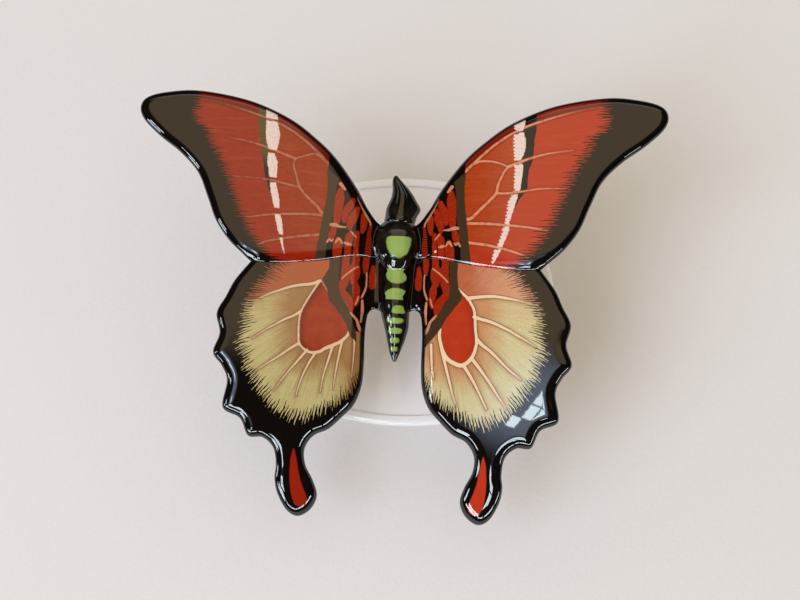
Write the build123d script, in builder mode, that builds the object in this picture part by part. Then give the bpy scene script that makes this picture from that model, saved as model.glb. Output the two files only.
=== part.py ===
from build123d import *
import math
import os

# A glazed porcelain butterfly ornament, wings raised in a shallow V over an oval base.
# Millimetres, +Z up. The origin is the centre of the base's flat foot, and the head points to +Y.
# The butterfly is drawn level in its own body frame, with u to the wing, v to the head and w up,
# and each finished piece is then set on the tilted perch plane above the base.

# Overall sizes
wing_reach = 65.0
forewing_length = 41.1
hindwing_spread = 43.8
tail_reach = 63.8
perch_height = 32.3
perch_forward = 1.3
nose_up = 10.0

# Wing shell: a slab bent to a shallow V, crowned across and drooping to the tails
wing_thickness = 3.8
wing_dihedral = 15.0
wing_camber_radius = 320.0
wing_seat = 1.0
droop_radius = 185.0
droop_start = 4.8
seam_step = 1.1
seam_gap = 0.25
slab_overrun = 6.0

# Fits between the luted pieces
luting_gap = 0.15
wing_clearance = 0.3

# Thorax: a turned bulb with a flat neck, and a rear lip that laps the abdomen
thorax_front = 9.9
thorax_rear = 1.2
thorax_radius = 5.9
neck_radius = 3.6
lip_radius = 5.2
lip_edge_radius = 0.4

# Abdomen: a tapering spindle seated in the thorax's rear lip
abdomen_length = 24.8
abdomen_radius = 4.15
lip_depth = 1.6

# Head: a pointed form with an eye bulge at each side
head_length = 12.3
head_radius = 4.3
head_height = 3.9
head_lean = 1.5
head_rise = 1.6
eye_radius = 1.75
eye_spread = 3.3
eye_forward = 4.1
eye_height = 0.6
neck_peg_radius = 1.5
neck_peg_length = 2.6

# Wing tabs and the slots that take them
tab_root = 2.3
tab_reach = 7.4
forewing_tab_length = 5.6
forewing_tab_centre = 4.6
forewing_tab_height = 1.9
hindwing_tab_length = 5.6
hindwing_tab_centre = 5.2
hindwing_tab_height = 1.7

# Stem: a short post from the base's well to a blind socket in the thorax
stem_radius = 3.0
stem_forward = 5.8
stem_flange_radius = 5.6
stem_flange_height = 1.2
stem_flare = 2.2
stem_entry = 3.0

# Base: a hollow oval plinth with a rounded bead round a shallow well
base_half_length = 41.0
base_half_width = 35.2
base_end_share = 0.986
base_height = 9.0
bead_height = 3.0
bead_radius = 1.35
bead_width = 2.7
well_depth = 0.6
well_edge_radius = 0.5
foot_inset = 3.4
waist_inset = 1.6
wall = 2.8
foot_ring_width = 3.2
flange_seat_depth = 0.8

# Outline points as shares of the wing's sizes, from the root round the tip to the notch
forewing_edge_shares = [
    (0.076, 0.236), (0.118, 0.331), (0.166, 0.462), (0.246, 0.630), (0.326, 0.747),
    (0.431, 0.861), (0.585, 0.956), (0.769, 1.000), (0.892, 0.985), (0.974, 0.946),
    (1.000, 0.881), (0.982, 0.803), (0.915, 0.703), (0.838, 0.613), (0.766, 0.494),
    (0.722, 0.341), (0.686, 0.204), (0.634, 0.090), (0.577, 0.007), (0.551, -0.029),
]
forewing_ridge_shares = [
    (0.551, -0.029), (0.508, -0.046), (0.415, -0.041), (0.292, -0.017), (0.185, 0.017),
    (0.092, 0.034), (0.030, 0.034),
]
# Hindwing: from the notch over four scallops, round the tail and up the inner margin
hindwing_edge_shares = [
    (0.817, -0.019), (0.897, -0.094), (0.943, -0.160), (0.989, -0.227), (0.968, -0.303),
    (1.000, -0.378), (0.948, -0.430), (0.918, -0.486), (0.938, -0.588), (0.842, -0.627),
    (0.795, -0.693), (0.715, -0.697), (0.655, -0.735), (0.639, -0.799), (0.646, -0.854),
    (0.630, -0.912), (0.580, -0.976), (0.516, -1.000), (0.445, -0.972), (0.409, -0.917),
    (0.432, -0.857), (0.475, -0.796), (0.480, -0.734), (0.432, -0.683), (0.352, -0.655),
    (0.279, -0.608), (0.212, -0.556), (0.174, -0.486), (0.165, -0.400), (0.166, -0.300),
    (0.158, -0.225), (0.124, -0.181), (0.094, -0.200),
]
# Turned profiles as shares of radius and length, from the front face to the rear
thorax_profile_shares = [(0.80, 0.10), (0.97, 0.34), (1.00, 0.58), (0.95, 0.82)]
abdomen_profile_shares = [
    (1.00, 0.08), (0.99, 0.24), (0.93, 0.40), (0.78, 0.58), (0.57, 0.76), (0.29, 0.92),
]
# Head rings as shares of length and radius, with the share of its lean and rise
head_ring_shares = [
    (0.00, 0.82, 0.00), (0.18, 0.97, 0.00), (0.38, 1.00, 0.03), (0.60, 0.74, 0.24),
    (0.82, 0.40, 0.64), (0.98, 0.14, 1.00),
]
slab_station_shares = [-1.04, -0.72, -0.42, -0.12, 0.20, 0.70]

os.makedirs("parts", exist_ok=True)

perch = Plane(origin=(0, perch_forward, perch_height), x_dir=(1, 0, 0)).rotated((nose_up, 0, 0))


def perched(shape):
    """Set a piece drawn in the level body frame on the tilted perch plane."""
    with BuildPart(perch) as placed:
        add(shape)
    return placed.part


def crown(u):
    """Height of the wing's middle surface over its root, at a reach u."""
    return u * math.tan(math.radians(wing_dihedral)) - u**2 / (wing_camber_radius * 2)


def droop(v):
    """How far the wings have dropped at a station v, to the rear of the droop's start."""
    behind = max(-droop_start - v, 0)
    return behind**2 / (droop_radius * 2)


def wing_section(v, seat):
    """Closed cross-section of the wing slab at one station along the body."""
    inner = tab_root
    outer = wing_reach + slab_overrun
    middle = (inner + outer) / 2
    half = wing_thickness / 2
    with BuildSketch(Plane(origin=(0, v, seat - droop(v)), x_dir=(1, 0, 0), z_dir=(0, -1, 0))) as section:
        with BuildLine():
            upper = ThreePointArc(*[(u, crown(u) + half) for u in (inner, middle, outer)])
            lower = ThreePointArc(*[(u, crown(u) - half) for u in (inner, middle, outer)])
            Line(upper @ 0, lower @ 0)
            Line(upper @ 1, lower @ 1)
        make_face()
    return section.sketch


def wing_slab(seat):
    """The bent slab that both wings of one side are cut from."""
    with BuildPart() as slab:
        for share in slab_station_shares:
            add(wing_section(share * tail_reach, seat))
        loft()
    return slab.part


def forewing_outline(shift=0.0):
    """Plan outline of the forewing, moved to the rear by a shift."""
    edge = [(a * wing_reach, b * forewing_length - shift) for a, b in forewing_edge_shares]
    ridge = [(a * wing_reach, b * forewing_length - shift) for a, b in forewing_ridge_shares]
    with BuildSketch(Plane.XY.offset(-perch_height)) as outline:
        with BuildLine():
            Spline(*edge)
            Spline(*ridge)
            Polyline(ridge[-1], (ridge[-1][0], edge[0][1]), edge[0])
        make_face()
    return outline.sketch


def hindwing_outline():
    """Plan outline of the hindwing, run on under the forewing's ridge."""
    edge = [(a * hindwing_spread, b * tail_reach) for a, b in hindwing_edge_shares]
    root = (tab_root, edge[-1][1])
    with BuildSketch(Plane.XY.offset(-perch_height)) as outline:
        with BuildLine():
            Spline(*edge)
            Polyline(edge[-1], root, (tab_root, slab_overrun), (edge[0][0], slab_overrun), edge[0])
        make_face()
    return outline.sketch


def thorax_bulb(grow=0.0):
    """The thorax as a turned bulb, grown by a clearance where a neighbour is cut round it."""
    front = thorax_front + grow
    rear = -thorax_rear - grow
    points = [(thorax_radius * a + grow, front + (rear - front) * b) for a, b in thorax_profile_shares]
    with BuildPart() as piece:
        with BuildSketch():
            with BuildLine():
                first = (neck_radius + grow, front)
                last = (lip_radius + grow, rear)
                Spline(first, *points, last)
                Polyline(last, (0, rear), (0, front), first)
            make_face()
        revolve(axis=Axis.Y)
    return piece.part


def abdomen_spindle(grow=0.0):
    """The abdomen as a turned spindle with a rounded tip."""
    front = lip_depth - thorax_rear
    rear = -abdomen_length
    points = [(abdomen_radius * a + grow, front + (rear - front) * b) for a, b in abdomen_profile_shares]
    with BuildPart() as piece:
        with BuildSketch():
            with BuildLine():
                first = (abdomen_radius + grow, front)
                Spline(first, *points, (0, rear - grow), tangents=[(0, -1), (-1, 0)])
                Polyline((0, rear - grow), (0, front), first)
            make_face()
        revolve(axis=Axis.Y)
    return piece.part


def wing_tab(centre_v, length, height, seat, grow=0.0):
    """Root tab of a wing, or its slot when grown by the luting gap."""
    start = tab_root - grow
    middle = seat + crown((tab_root + abdomen_radius) / 2)
    with BuildPart() as tab:
        with Locations((start, centre_v, middle)):
            Box(
                tab_reach - start, length + grow * 2, height + grow * 2,
                align=(Align.MIN, Align.CENTER, Align.CENTER),
            )
    return tab.part


def forewing_tab(grow=0.0):
    """The forewing's tab, which the thorax's flank takes."""
    return wing_tab(forewing_tab_centre, forewing_tab_length, forewing_tab_height, wing_seat, grow)


def hindwing_tab(grow=0.0):
    """The hindwing's tab, which the abdomen's flank takes."""
    seat = wing_seat - seam_step
    return wing_tab(-hindwing_tab_centre, hindwing_tab_length, hindwing_tab_height, seat, grow)


def oval(inset, height):
    """Four-arc oval of the base, drawn parallel to its rim at an inset and a height."""
    long_half = max(base_half_length, base_half_width)
    short_half = min(base_half_length, base_half_width)
    turn = 0 if long_half == base_half_length else 90
    end_radius = short_half * base_end_share
    end_centre = long_half - end_radius
    side_radius = (long_half**2 + short_half**2 - long_half * end_radius * 2) / (
        (short_half - end_radius) * 2
    )
    side_centre = side_radius - short_half
    share = (side_radius - inset) / math.hypot(end_centre, side_centre)
    joint_x = end_centre * share
    joint_y = side_centre * share - side_centre
    with BuildSketch(Plane.XY.offset(height).rotated((0, 0, turn))) as face:
        with BuildLine():
            ThreePointArc((joint_x, joint_y), (long_half - inset, 0), (joint_x, -joint_y))
            ThreePointArc((joint_x, -joint_y), (0, inset - short_half), (-joint_x, -joint_y))
            ThreePointArc((-joint_x, -joint_y), (inset - long_half, 0), (-joint_x, joint_y))
            ThreePointArc((-joint_x, joint_y), (0, short_half - inset), (joint_x, joint_y))
        make_face()
    return face.sketch


# Base: side, bead, well, hollow underside and the seat for the stem's flange
well_floor = base_height - well_depth
bead_bottom = base_height - bead_height
flange_seat = well_floor - flange_seat_depth
hollow_top = well_floor - wall
with BuildPart() as bead:
    extrude(oval(0, bead_bottom), amount=bead_height)
    fillet(bead.faces().filter_by(Axis.Z).edges(), bead_radius)
    extrude(oval(bead_width, well_floor), amount=well_depth, mode=Mode.SUBTRACT)
    fillet(bead.faces().filter_by(Axis.Z).sort_by(Axis.Z)[-1].inner_wires()[0].edges(), well_edge_radius)
with BuildPart() as base:
    loft(sections=[oval(foot_inset, 0), oval(waist_inset, bead_bottom)])
    add(bead.part)
    loft(
        sections=[oval(foot_inset + foot_ring_width, 0), oval(waist_inset + wall, hollow_top)],
        mode=Mode.SUBTRACT,
    )
    with BuildSketch(Plane.XY.offset(well_floor)):
        with Locations((0, stem_forward)):
            Circle(stem_flange_radius + luting_gap)
    extrude(amount=-flange_seat_depth, mode=Mode.SUBTRACT)
base.part.label = "base"

# Stem: a flanged post turned about its own upright axis
stem_top = perch_height - thorax_radius + stem_entry
flange_top = flange_seat + stem_flange_height
with BuildPart() as stem:
    with BuildSketch(Plane.XZ.offset(-stem_forward)):
        with BuildLine():
            foot = Polyline((0, stem_top), (0, flange_seat), (stem_flange_radius, flange_seat),
                            (stem_flange_radius, flange_top))
            flare = Line((stem_radius, flange_top + stem_flare), (stem_radius, stem_top))
            Spline(foot @ 1, flare @ 0, tangents=[(-1, 0), (0, 1)])
            Line(flare @ 1, foot @ 0)
        make_face()
    revolve(axis=Axis(origin=(0, stem_forward, 0), direction=(0, 0, 1)))
stem.part.label = "stem"

# Thorax: bulb with the abdomen's seat, the neck's peg hole, four wing slots and the stem's socket
seat_front = lip_depth - thorax_rear
with BuildPart() as thorax_level:
    add(thorax_bulb())
    fillet(thorax_level.edges().group_by(Axis.Y)[0], lip_edge_radius)
    with BuildSketch(Plane.XZ.offset(-seat_front)):
        Circle(abdomen_radius + luting_gap)
    extrude(amount=thorax_rear * 2 + lip_depth, mode=Mode.SUBTRACT)
    with BuildSketch(Plane.XZ.offset(-thorax_front)):
        Circle(neck_peg_radius + luting_gap)
    extrude(amount=neck_peg_length + luting_gap, mode=Mode.SUBTRACT)
    add(forewing_tab(luting_gap), mode=Mode.SUBTRACT)
    add(forewing_tab(luting_gap).mirror(Plane.YZ), mode=Mode.SUBTRACT)
with BuildPart() as thorax:
    add(perched(thorax_level.part))
    with BuildSketch(Plane.XY.offset(stem_top + luting_gap)):
        with Locations((0, stem_forward)):
            Circle(stem_radius + luting_gap)
    extrude(amount=-perch_height, mode=Mode.SUBTRACT)
thorax.part.label = "thorax"

# Abdomen: spindle with a slot in each flank for the hindwing tabs
with BuildPart() as abdomen_level:
    add(abdomen_spindle())
    add(hindwing_tab(luting_gap), mode=Mode.SUBTRACT)
    add(hindwing_tab(luting_gap).mirror(Plane.YZ), mode=Mode.SUBTRACT)
abdomen = perched(abdomen_level.part)
abdomen.label = "abdomen"

# Head: rings lofted to a leaning point, an eye bulge at each side and the neck's peg
with BuildPart() as head_level:
    for along, size, lean in head_ring_shares:
        centre = (-head_lean * lean, thorax_front + head_length * along, head_rise * lean)
        with BuildSketch(Plane(origin=centre, x_dir=(1, 0, 0), z_dir=(0, -1, 0))):
            Ellipse(head_radius * size, head_height * size)
    loft()
    for side in (-1, 1):
        with Locations((eye_spread * side, thorax_front + eye_forward, eye_height)):
            Sphere(eye_radius)
    with BuildSketch(Plane.XZ.offset(-thorax_front)):
        Circle(neck_peg_radius)
    extrude(amount=neck_peg_length)
head = perched(head_level.part)
head.label = "head"

# Forewings: the slab cut to its outline, kept clear of the thorax, with a root tab
with BuildPart() as forewing_level:
    add(wing_slab(wing_seat))
    extrude(forewing_outline(), amount=perch_height * 2, mode=Mode.INTERSECT)
    add(thorax_bulb(wing_clearance), mode=Mode.SUBTRACT)
    add(forewing_tab())
right_forewing = perched(forewing_level.part)
right_forewing.label = "right_forewing"
left_forewing = right_forewing.mirror(Plane.YZ)
left_forewing.label = "left_forewing"

# Hindwings: seated lower, butted under the forewing's ridge, with a root tab
with BuildPart() as hindwing_level:
    add(wing_slab(wing_seat - seam_step))
    extrude(hindwing_outline(), amount=perch_height * 2, mode=Mode.INTERSECT)
    extrude(forewing_outline(seam_gap), amount=perch_height * 2, mode=Mode.SUBTRACT)
    add(thorax_bulb(wing_clearance), mode=Mode.SUBTRACT)
    add(abdomen_spindle(wing_clearance), mode=Mode.SUBTRACT)
    add(hindwing_tab())
right_hindwing = perched(hindwing_level.part)
right_hindwing.label = "right_hindwing"
left_hindwing = right_hindwing.mirror(Plane.YZ)
left_hindwing.label = "left_hindwing"

export_step(base.part, "parts/base.step")
export_step(stem.part, "parts/stem.step")
export_step(thorax.part, "parts/thorax.step")
export_step(abdomen, "parts/abdomen.step")
export_step(head, "parts/head.step")
export_step(right_forewing, "parts/right_forewing.step")
export_step(left_forewing, "parts/left_forewing.step")
export_step(right_hindwing, "parts/right_hindwing.step")
export_step(left_hindwing, "parts/left_hindwing.step")
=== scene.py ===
"""Looks of a glazed porcelain butterfly ornament: wings, body, base and a soft studio round them.

Lengths are millimetres in the sizes and in the numpy work, and become metres when a mesh is made.
The butterfly is drawn level, with u along the wing, v to the head and w up, then set on its perch.
"""

import logging
import math
from dataclasses import dataclass, field
from enum import Enum
from typing import Any, Callable

import bpy
import numpy as np
from mathutils import Matrix, Vector


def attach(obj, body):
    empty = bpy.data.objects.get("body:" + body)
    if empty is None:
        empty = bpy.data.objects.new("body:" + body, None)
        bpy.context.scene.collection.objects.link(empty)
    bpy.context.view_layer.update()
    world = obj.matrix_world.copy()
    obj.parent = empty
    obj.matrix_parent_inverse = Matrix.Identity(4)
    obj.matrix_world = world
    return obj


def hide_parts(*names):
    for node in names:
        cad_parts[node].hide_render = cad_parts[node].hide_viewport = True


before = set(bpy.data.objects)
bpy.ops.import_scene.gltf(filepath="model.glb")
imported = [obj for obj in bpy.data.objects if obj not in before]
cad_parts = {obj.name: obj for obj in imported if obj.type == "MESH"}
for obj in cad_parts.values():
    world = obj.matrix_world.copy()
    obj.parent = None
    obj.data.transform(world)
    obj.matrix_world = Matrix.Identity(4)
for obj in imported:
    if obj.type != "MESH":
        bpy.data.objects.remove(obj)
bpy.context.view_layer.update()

MM = 0.001
BODY = "root"
log = logging.getLogger("butterfly")

Array = np.ndarray
Material = bpy.types.Material
Thing = bpy.types.Object
Pair = tuple[float, float]
Triple = tuple[float, float, float]
Colour = tuple[float, float, float, float]
Points = list[Pair]
Stroke = list[Triple]
Rings = list[tuple[float, ...]]
Veins = list[tuple[float, Points]]


class Side(Enum):
    """Which wing of a pair: the sign of its reach along X."""

    RIGHT = 1
    LEFT = -1


def srgb(*display: float) -> Colour:
    """Linear colour of a paint chip.

    Args:
        display: Red, green and blue as display values from 0 to 255.

    Returns:
        Linear red, green and blue, and an alpha of one.
    """
    chip = np.array(display) / 255.0
    linear = np.where(chip <= 0.04045, chip / 12.92, ((chip + 0.055) / 1.055) ** 2.4)
    return (*map(float, linear), 1.0)


def listed(*rows: Any) -> Any:
    """Dataclass field whose default is a list of these rows."""
    return field(default_factory=lambda: list(rows))


def smooth_curve(points: Points, steps: int = 8) -> Array:
    """Curve through given points.

    Each stretch is a Catmull-Rom cubic: its tangents are half the span of the neighbours on each side.

    Args:
        points: Points that the curve passes, in order.
        steps: Samples in each stretch.

    Returns:
        Samples along the curve, one row each.
    """
    p = np.asarray(points, float)
    ends = np.vstack([2 * p[0] - p[1], p, 2 * p[-1] - p[-2]])
    t = np.linspace(0, 1, steps, endpoint=False)[None, :, None]
    a, b, c, d = (ends[k:len(ends) - 3 + k, None, :] for k in range(4))
    cubic = b + 0.5 * t * (c - a + t * (2 * a - 5 * b + 4 * c - d + t * (3 * (b - c) + d - a)))
    return np.vstack([cubic.reshape(-1, p.shape[1]), p[-1:]])


def arc_length(line: Array) -> Array:
    """Length along a sampled line up to each sample: the running sum of its steps."""
    return np.r_[0, np.cumsum(np.linalg.norm(np.diff(line, axis=0), axis=1))]


def even_steps(line: Array, count: int) -> Array:
    """Points at even arc length along a sampled line.

    Args:
        line: Samples of the line.
        count: How many points to return.

    Returns:
        The points, ends included.
    """
    arc = arc_length(line)
    at = np.linspace(0, arc[-1], count)
    return np.stack([np.interp(at, arc, line[:, k]) for k in range(line.shape[1])], axis=1)


def line_distance(points: Array, line: Array, block: int = 20000) -> tuple[Array, Array]:
    """Distance from points to a sampled line.

    Each point is dropped square on each short segment, held to the segment's ends, and the least is kept.

    Args:
        points: Points to measure, one row each.
        line: Samples of the line.
        block: Points worked on at a time.

    Returns:
        The distance of each point, and the share along the line of its nearest place.
    """
    start, run = line[:-1].astype(np.float32), np.diff(line, axis=0).astype(np.float32)
    length = np.maximum((run**2).sum(axis=1), 1e-12)
    best, share = [], []
    for first in range(0, len(points), block):
        here = points[first:first + block].astype(np.float32)
        x, y = (here[:, k:k + 1] - start[None, :, k] for k in (0, 1))
        along = np.clip((x * run[:, 0] + y * run[:, 1]) / length, 0, 1)
        gap = (x - along * run[:, 0]) ** 2 + (y - along * run[:, 1]) ** 2
        k = gap.argmin(axis=1)
        rows = np.arange(len(k))
        best.append(np.sqrt(gap[rows, k]))
        share.append((k + along[rows, k]) / len(start))
    return np.concatenate(best).astype(float), np.concatenate(share).astype(float)


def smoothstep(low: float, high: float, x: Array) -> Array:
    """Smooth rise from 0 at low to 1 at high: three t squared less two t cubed."""
    t = np.clip((x - low) / (high - low), 0, 1)
    return t * t * (3 - 2 * t)


def bell(x: Array, width: float) -> Array:
    """Rounded bump of height one at zero: the exponential of minus x over width, squared."""
    return np.exp(-((x / width) ** 2))


@dataclass(frozen=True)
class Perch:
    """The tilted plane that carries the butterfly over its base."""

    height: float = 32.3
    forward: float = 1.3
    nose_up: float = 10.0

    def place(self, u: Array, v: Array, w: Array) -> Array:
        """Turn level body places into places over the base.

        The level frame leans back by the nose-up angle about X, and then moves to the perch's place.

        Args:
            u: Places along X.
            v: Places to the head.
            w: Heights over the perch plane.

        Returns:
            World places in millimetres, with the last axis for X, Y and Z.
        """
        c, s = math.cos(math.radians(self.nose_up)), math.sin(math.radians(self.nose_up))
        return np.stack([u, self.forward + v * c - w * s, self.height + v * s + w * c], axis=-1)


PERCH = Perch()


class Piece:
    """A finished mesh piece that rides on the part's one body."""

    def __init__(self, name: str, points: Array, faces: Array, fields: dict[str, Array]) -> None:
        """Make the mesh and its object.

        Args:
            name: Piece name.
            points: World places in millimetres, one row each.
            faces: Corner numbers of the quads, where a triangle repeats its last corner.
            fields: Painted fields, one number for each point.
        """
        quads = faces[faces[:, 2] != faces[:, 3]]
        fans = faces[faces[:, 2] == faces[:, 3]][:, :3]
        mesh = bpy.data.meshes.new(name)
        mesh.from_pydata((points * MM).tolist(), [], quads.tolist() + fans.tolist())
        for label, values in fields.items():
            layer = mesh.attributes.new(label, "FLOAT", "POINT")
            layer.data.foreach_set("value", np.ascontiguousarray(values, np.float32))
        mesh.polygons.foreach_set("use_smooth", np.ones(len(mesh.polygons), bool))
        mesh.update()
        self.obj = bpy.data.objects.new(name, mesh)
        bpy.context.scene.collection.objects.link(self.obj)

    def dress(self, material: Material, node: str) -> Thing:
        """Give the piece its finish and let it stand for its CAD node.

        Args:
            material: Finish of the whole piece.
            node: CAD node that the piece replaces.

        Returns:
            The piece's object.
        """
        self.obj.data.materials.append(material)
        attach(self.obj, BODY)
        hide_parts(node)
        log.info("%s: %d faces, finish %s", self.obj.name, len(self.obj.data.polygons), material.name)
        return self.obj


class Val:
    """A shader socket that takes part in arithmetic, each operator adding one Math node."""

    def __init__(self, tree: "Tree", socket: bpy.types.NodeSocket) -> None:
        """Wrap a socket of a tree."""
        self.tree, self.socket = tree, socket

    def _math(self, operation: str, *values: "Val | float") -> "Val":
        """Add one Math node on these values."""
        return self.tree.node("ShaderNodeMath", {"operation": operation}, dict(enumerate(values)))

    def __add__(self, other: "Val | float") -> "Val":
        """Sum."""
        return self._math("ADD", self, other)

    __radd__ = __add__

    def __sub__(self, other: "Val | float") -> "Val":
        """Difference."""
        return self._math("SUBTRACT", self, other)

    def __rsub__(self, other: "Val | float") -> "Val":
        """Difference from a number on the left."""
        return self._math("SUBTRACT", other, self)

    def __mul__(self, other: "Val | float") -> "Val":
        """Product."""
        return self._math("MULTIPLY", self, other)

    __rmul__ = __mul__

    def larger(self, other: "Val | float") -> "Val":
        """The larger of two values."""
        return self._math("MAXIMUM", self, other)

    def smaller(self, other: "Val | float") -> "Val":
        """The smaller of two values."""
        return self._math("MINIMUM", self, other)

    def held(self) -> "Val":
        """This value held between 0 and 1."""
        return self.larger(0.0).smaller(1.0)

    def apart(self, other: "Val | float") -> "Val":
        """How far two values are apart."""
        return self._math("ABSOLUTE", self - other)

    def whole(self) -> "Val":
        """The whole number under this value."""
        return self._math("FLOOR", self)

    def off_half(self) -> "Val":
        """How far the rest over the whole number is from a half: even waves between 0 and 0.5."""
        return (self - self.whole()).apart(0.5)

    def rise(self, low: float, high: float) -> "Val":
        """Smooth rise from 0 where this value is low to 1 where it is high."""
        smooth = {"interpolation_type": "SMOOTHSTEP"}
        return self.tree.node("ShaderNodeMapRange", smooth, {0: self, 1: low, 2: high, 3: 0.0, 4: 1.0})

    def below(self, level: float, soft: float) -> "Val":
        """1 where this value is under a level, with a soft edge."""
        return 1.0 - self.rise(level - soft, level + soft)


class Tree:
    """Node tree of one finish."""

    def __init__(self, owner: Any) -> None:
        """Start an empty tree.

        Args:
            owner: Material or world that it belongs to.
        """
        owner.use_nodes = True
        self.tree = owner.node_tree
        self.tree.nodes.clear()

    def node(self, kind: str, settings: dict[str, Any], inputs: dict[Any, Any], output: int | str = 0) -> Val:
        """Add any node.

        Args:
            kind: Node type.
            settings: Properties of the node, set first.
            inputs: Socket names or numbers with a value or a wrapped socket each.
            output: Which output to wrap.

        Returns:
            The wrapped output.
        """
        made = self.tree.nodes.new(kind)
        for name, value in settings.items():
            setattr(made, name, value)
        for name, value in inputs.items():
            if isinstance(value, Val):
                self.tree.links.new(value.socket, made.inputs[name])
            else:
                made.inputs[name].default_value = value
        return Val(self, made.outputs[output])

    def painted(self, name: str) -> Val:
        """Field painted on the piece's points."""
        return self.node("ShaderNodeAttribute", {"attribute_name": name}, {}, "Fac")

    def place(self) -> Val:
        """Place on the object, in metres."""
        return self.node("ShaderNodeTexCoord", {}, {}, "Object")

    def spot(self, x: Val | float, y: Val | float, z: Val | float = 0.0) -> Val:
        """Vector of three values."""
        return self.node("ShaderNodeCombineXYZ", {}, {0: x, 1: y, 2: z})

    def noise(self, at: Val, often: float, detail: float = 2.0, rough: float = 0.5) -> Val:
        """Cloudy noise between 0 and 1.

        Args:
            at: Place where it is read.
            often: Patches in one unit of that place.
            detail: Finer layers over the first one.
            rough: Strength of each finer layer as a share of the one before it.

        Returns:
            The noise.
        """
        inputs = {"Vector": at, "Scale": often, "Detail": detail, "Roughness": rough}
        return self.node("ShaderNodeTexNoise", {}, inputs, "Fac")

    def lot(self, number: Val, seed: float) -> Val:
        """Number between 0 and 1 drawn for a whole number."""
        return self.node("ShaderNodeTexWhiteNoise", {"noise_dimensions": "1D"}, {"W": number + seed}, "Value")

    def blend(self, share: Val | float, first: Any, second: Any) -> Val:
        """Colour between two, by a share of the second."""
        return self.node("ShaderNodeMix", {"data_type": "RGBA"}, {0: share, 6: first, 7: second}, 2)

    def bump(self, height: Val, depth: float) -> Val:
        """Normal of a surface raised by a height field, whose full depth is in metres."""
        return self.node("ShaderNodeBump", {}, {"Strength": 1.0, "Distance": depth, "Height": height})

    def glaze(self, colour: Any, roughness: Any, normal: Val | None, ior: float) -> None:
        """Finish the tree as a glazed surface.

        Args:
            colour: Colour under the glaze.
            roughness: Roughness of the surface.
            normal: Bumped normal, if any.
            ior: Refractive index of the glass.
        """
        inputs = {"Base Color": colour, "Roughness": roughness, "IOR": ior}
        if normal is not None:
            inputs["Normal"] = normal
        self.close(self.node("ShaderNodeBsdfPrincipled", {}, inputs))

    def close(self, shader: Val, kind: str = "ShaderNodeOutputMaterial") -> None:
        """Link a shader to the tree's output."""
        made = self.tree.nodes.new(kind)
        self.tree.links.new(shader.socket, made.inputs[0])


def new_finish(name: str) -> tuple[Material, Tree]:
    """A new material and its empty tree."""
    material = bpy.data.materials.new(name)
    return material, Tree(material)


class Coats:
    """Colour of a wing, laid coat over coat on its plan."""

    def __init__(self, tree: Tree, glaze: "WingGlaze") -> None:
        """Read the fields that every coat uses.

        Args:
            tree: Tree of the finish.
            glaze: Its paints and strengths.
        """
        self.tree = tree
        self.glaze = glaze
        self.u, self.v, self.pale = map(tree.painted, ("reach", "station", "pale"))
        self.wobble = (self.patches(glaze.hand_patches) - 0.5) * glaze.unsteady
        self.cloud = self.patches(glaze.cloud_patches, 3.0)
        self.grain = self.patches(glaze.grain_patches)
        self.colour: Any = glaze.red

    def patches(self, often: Triple, detail: float = 2.0) -> Val:
        """Cloudy noise over the plan, with so many patches in a millimetre of reach and of station."""
        return self.tree.noise(self.tree.spot(self.u * often[0], self.v * often[1], often[2]), 1.0, detail)

    def lay(self, share: Val | float, paint: Any) -> None:
        """Lay a paint over the colour by a share."""
        self.colour = self.tree.blend(share, self.colour, paint)

    def inside(self, name: str) -> Val:
        """1 inside a painted outline, as unsteady and as soft as the glaze says."""
        sway, soft = self.glaze.outlines[name]
        return (self.tree.painted(name) + self.wobble * sway).below(0.0, soft)


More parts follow.
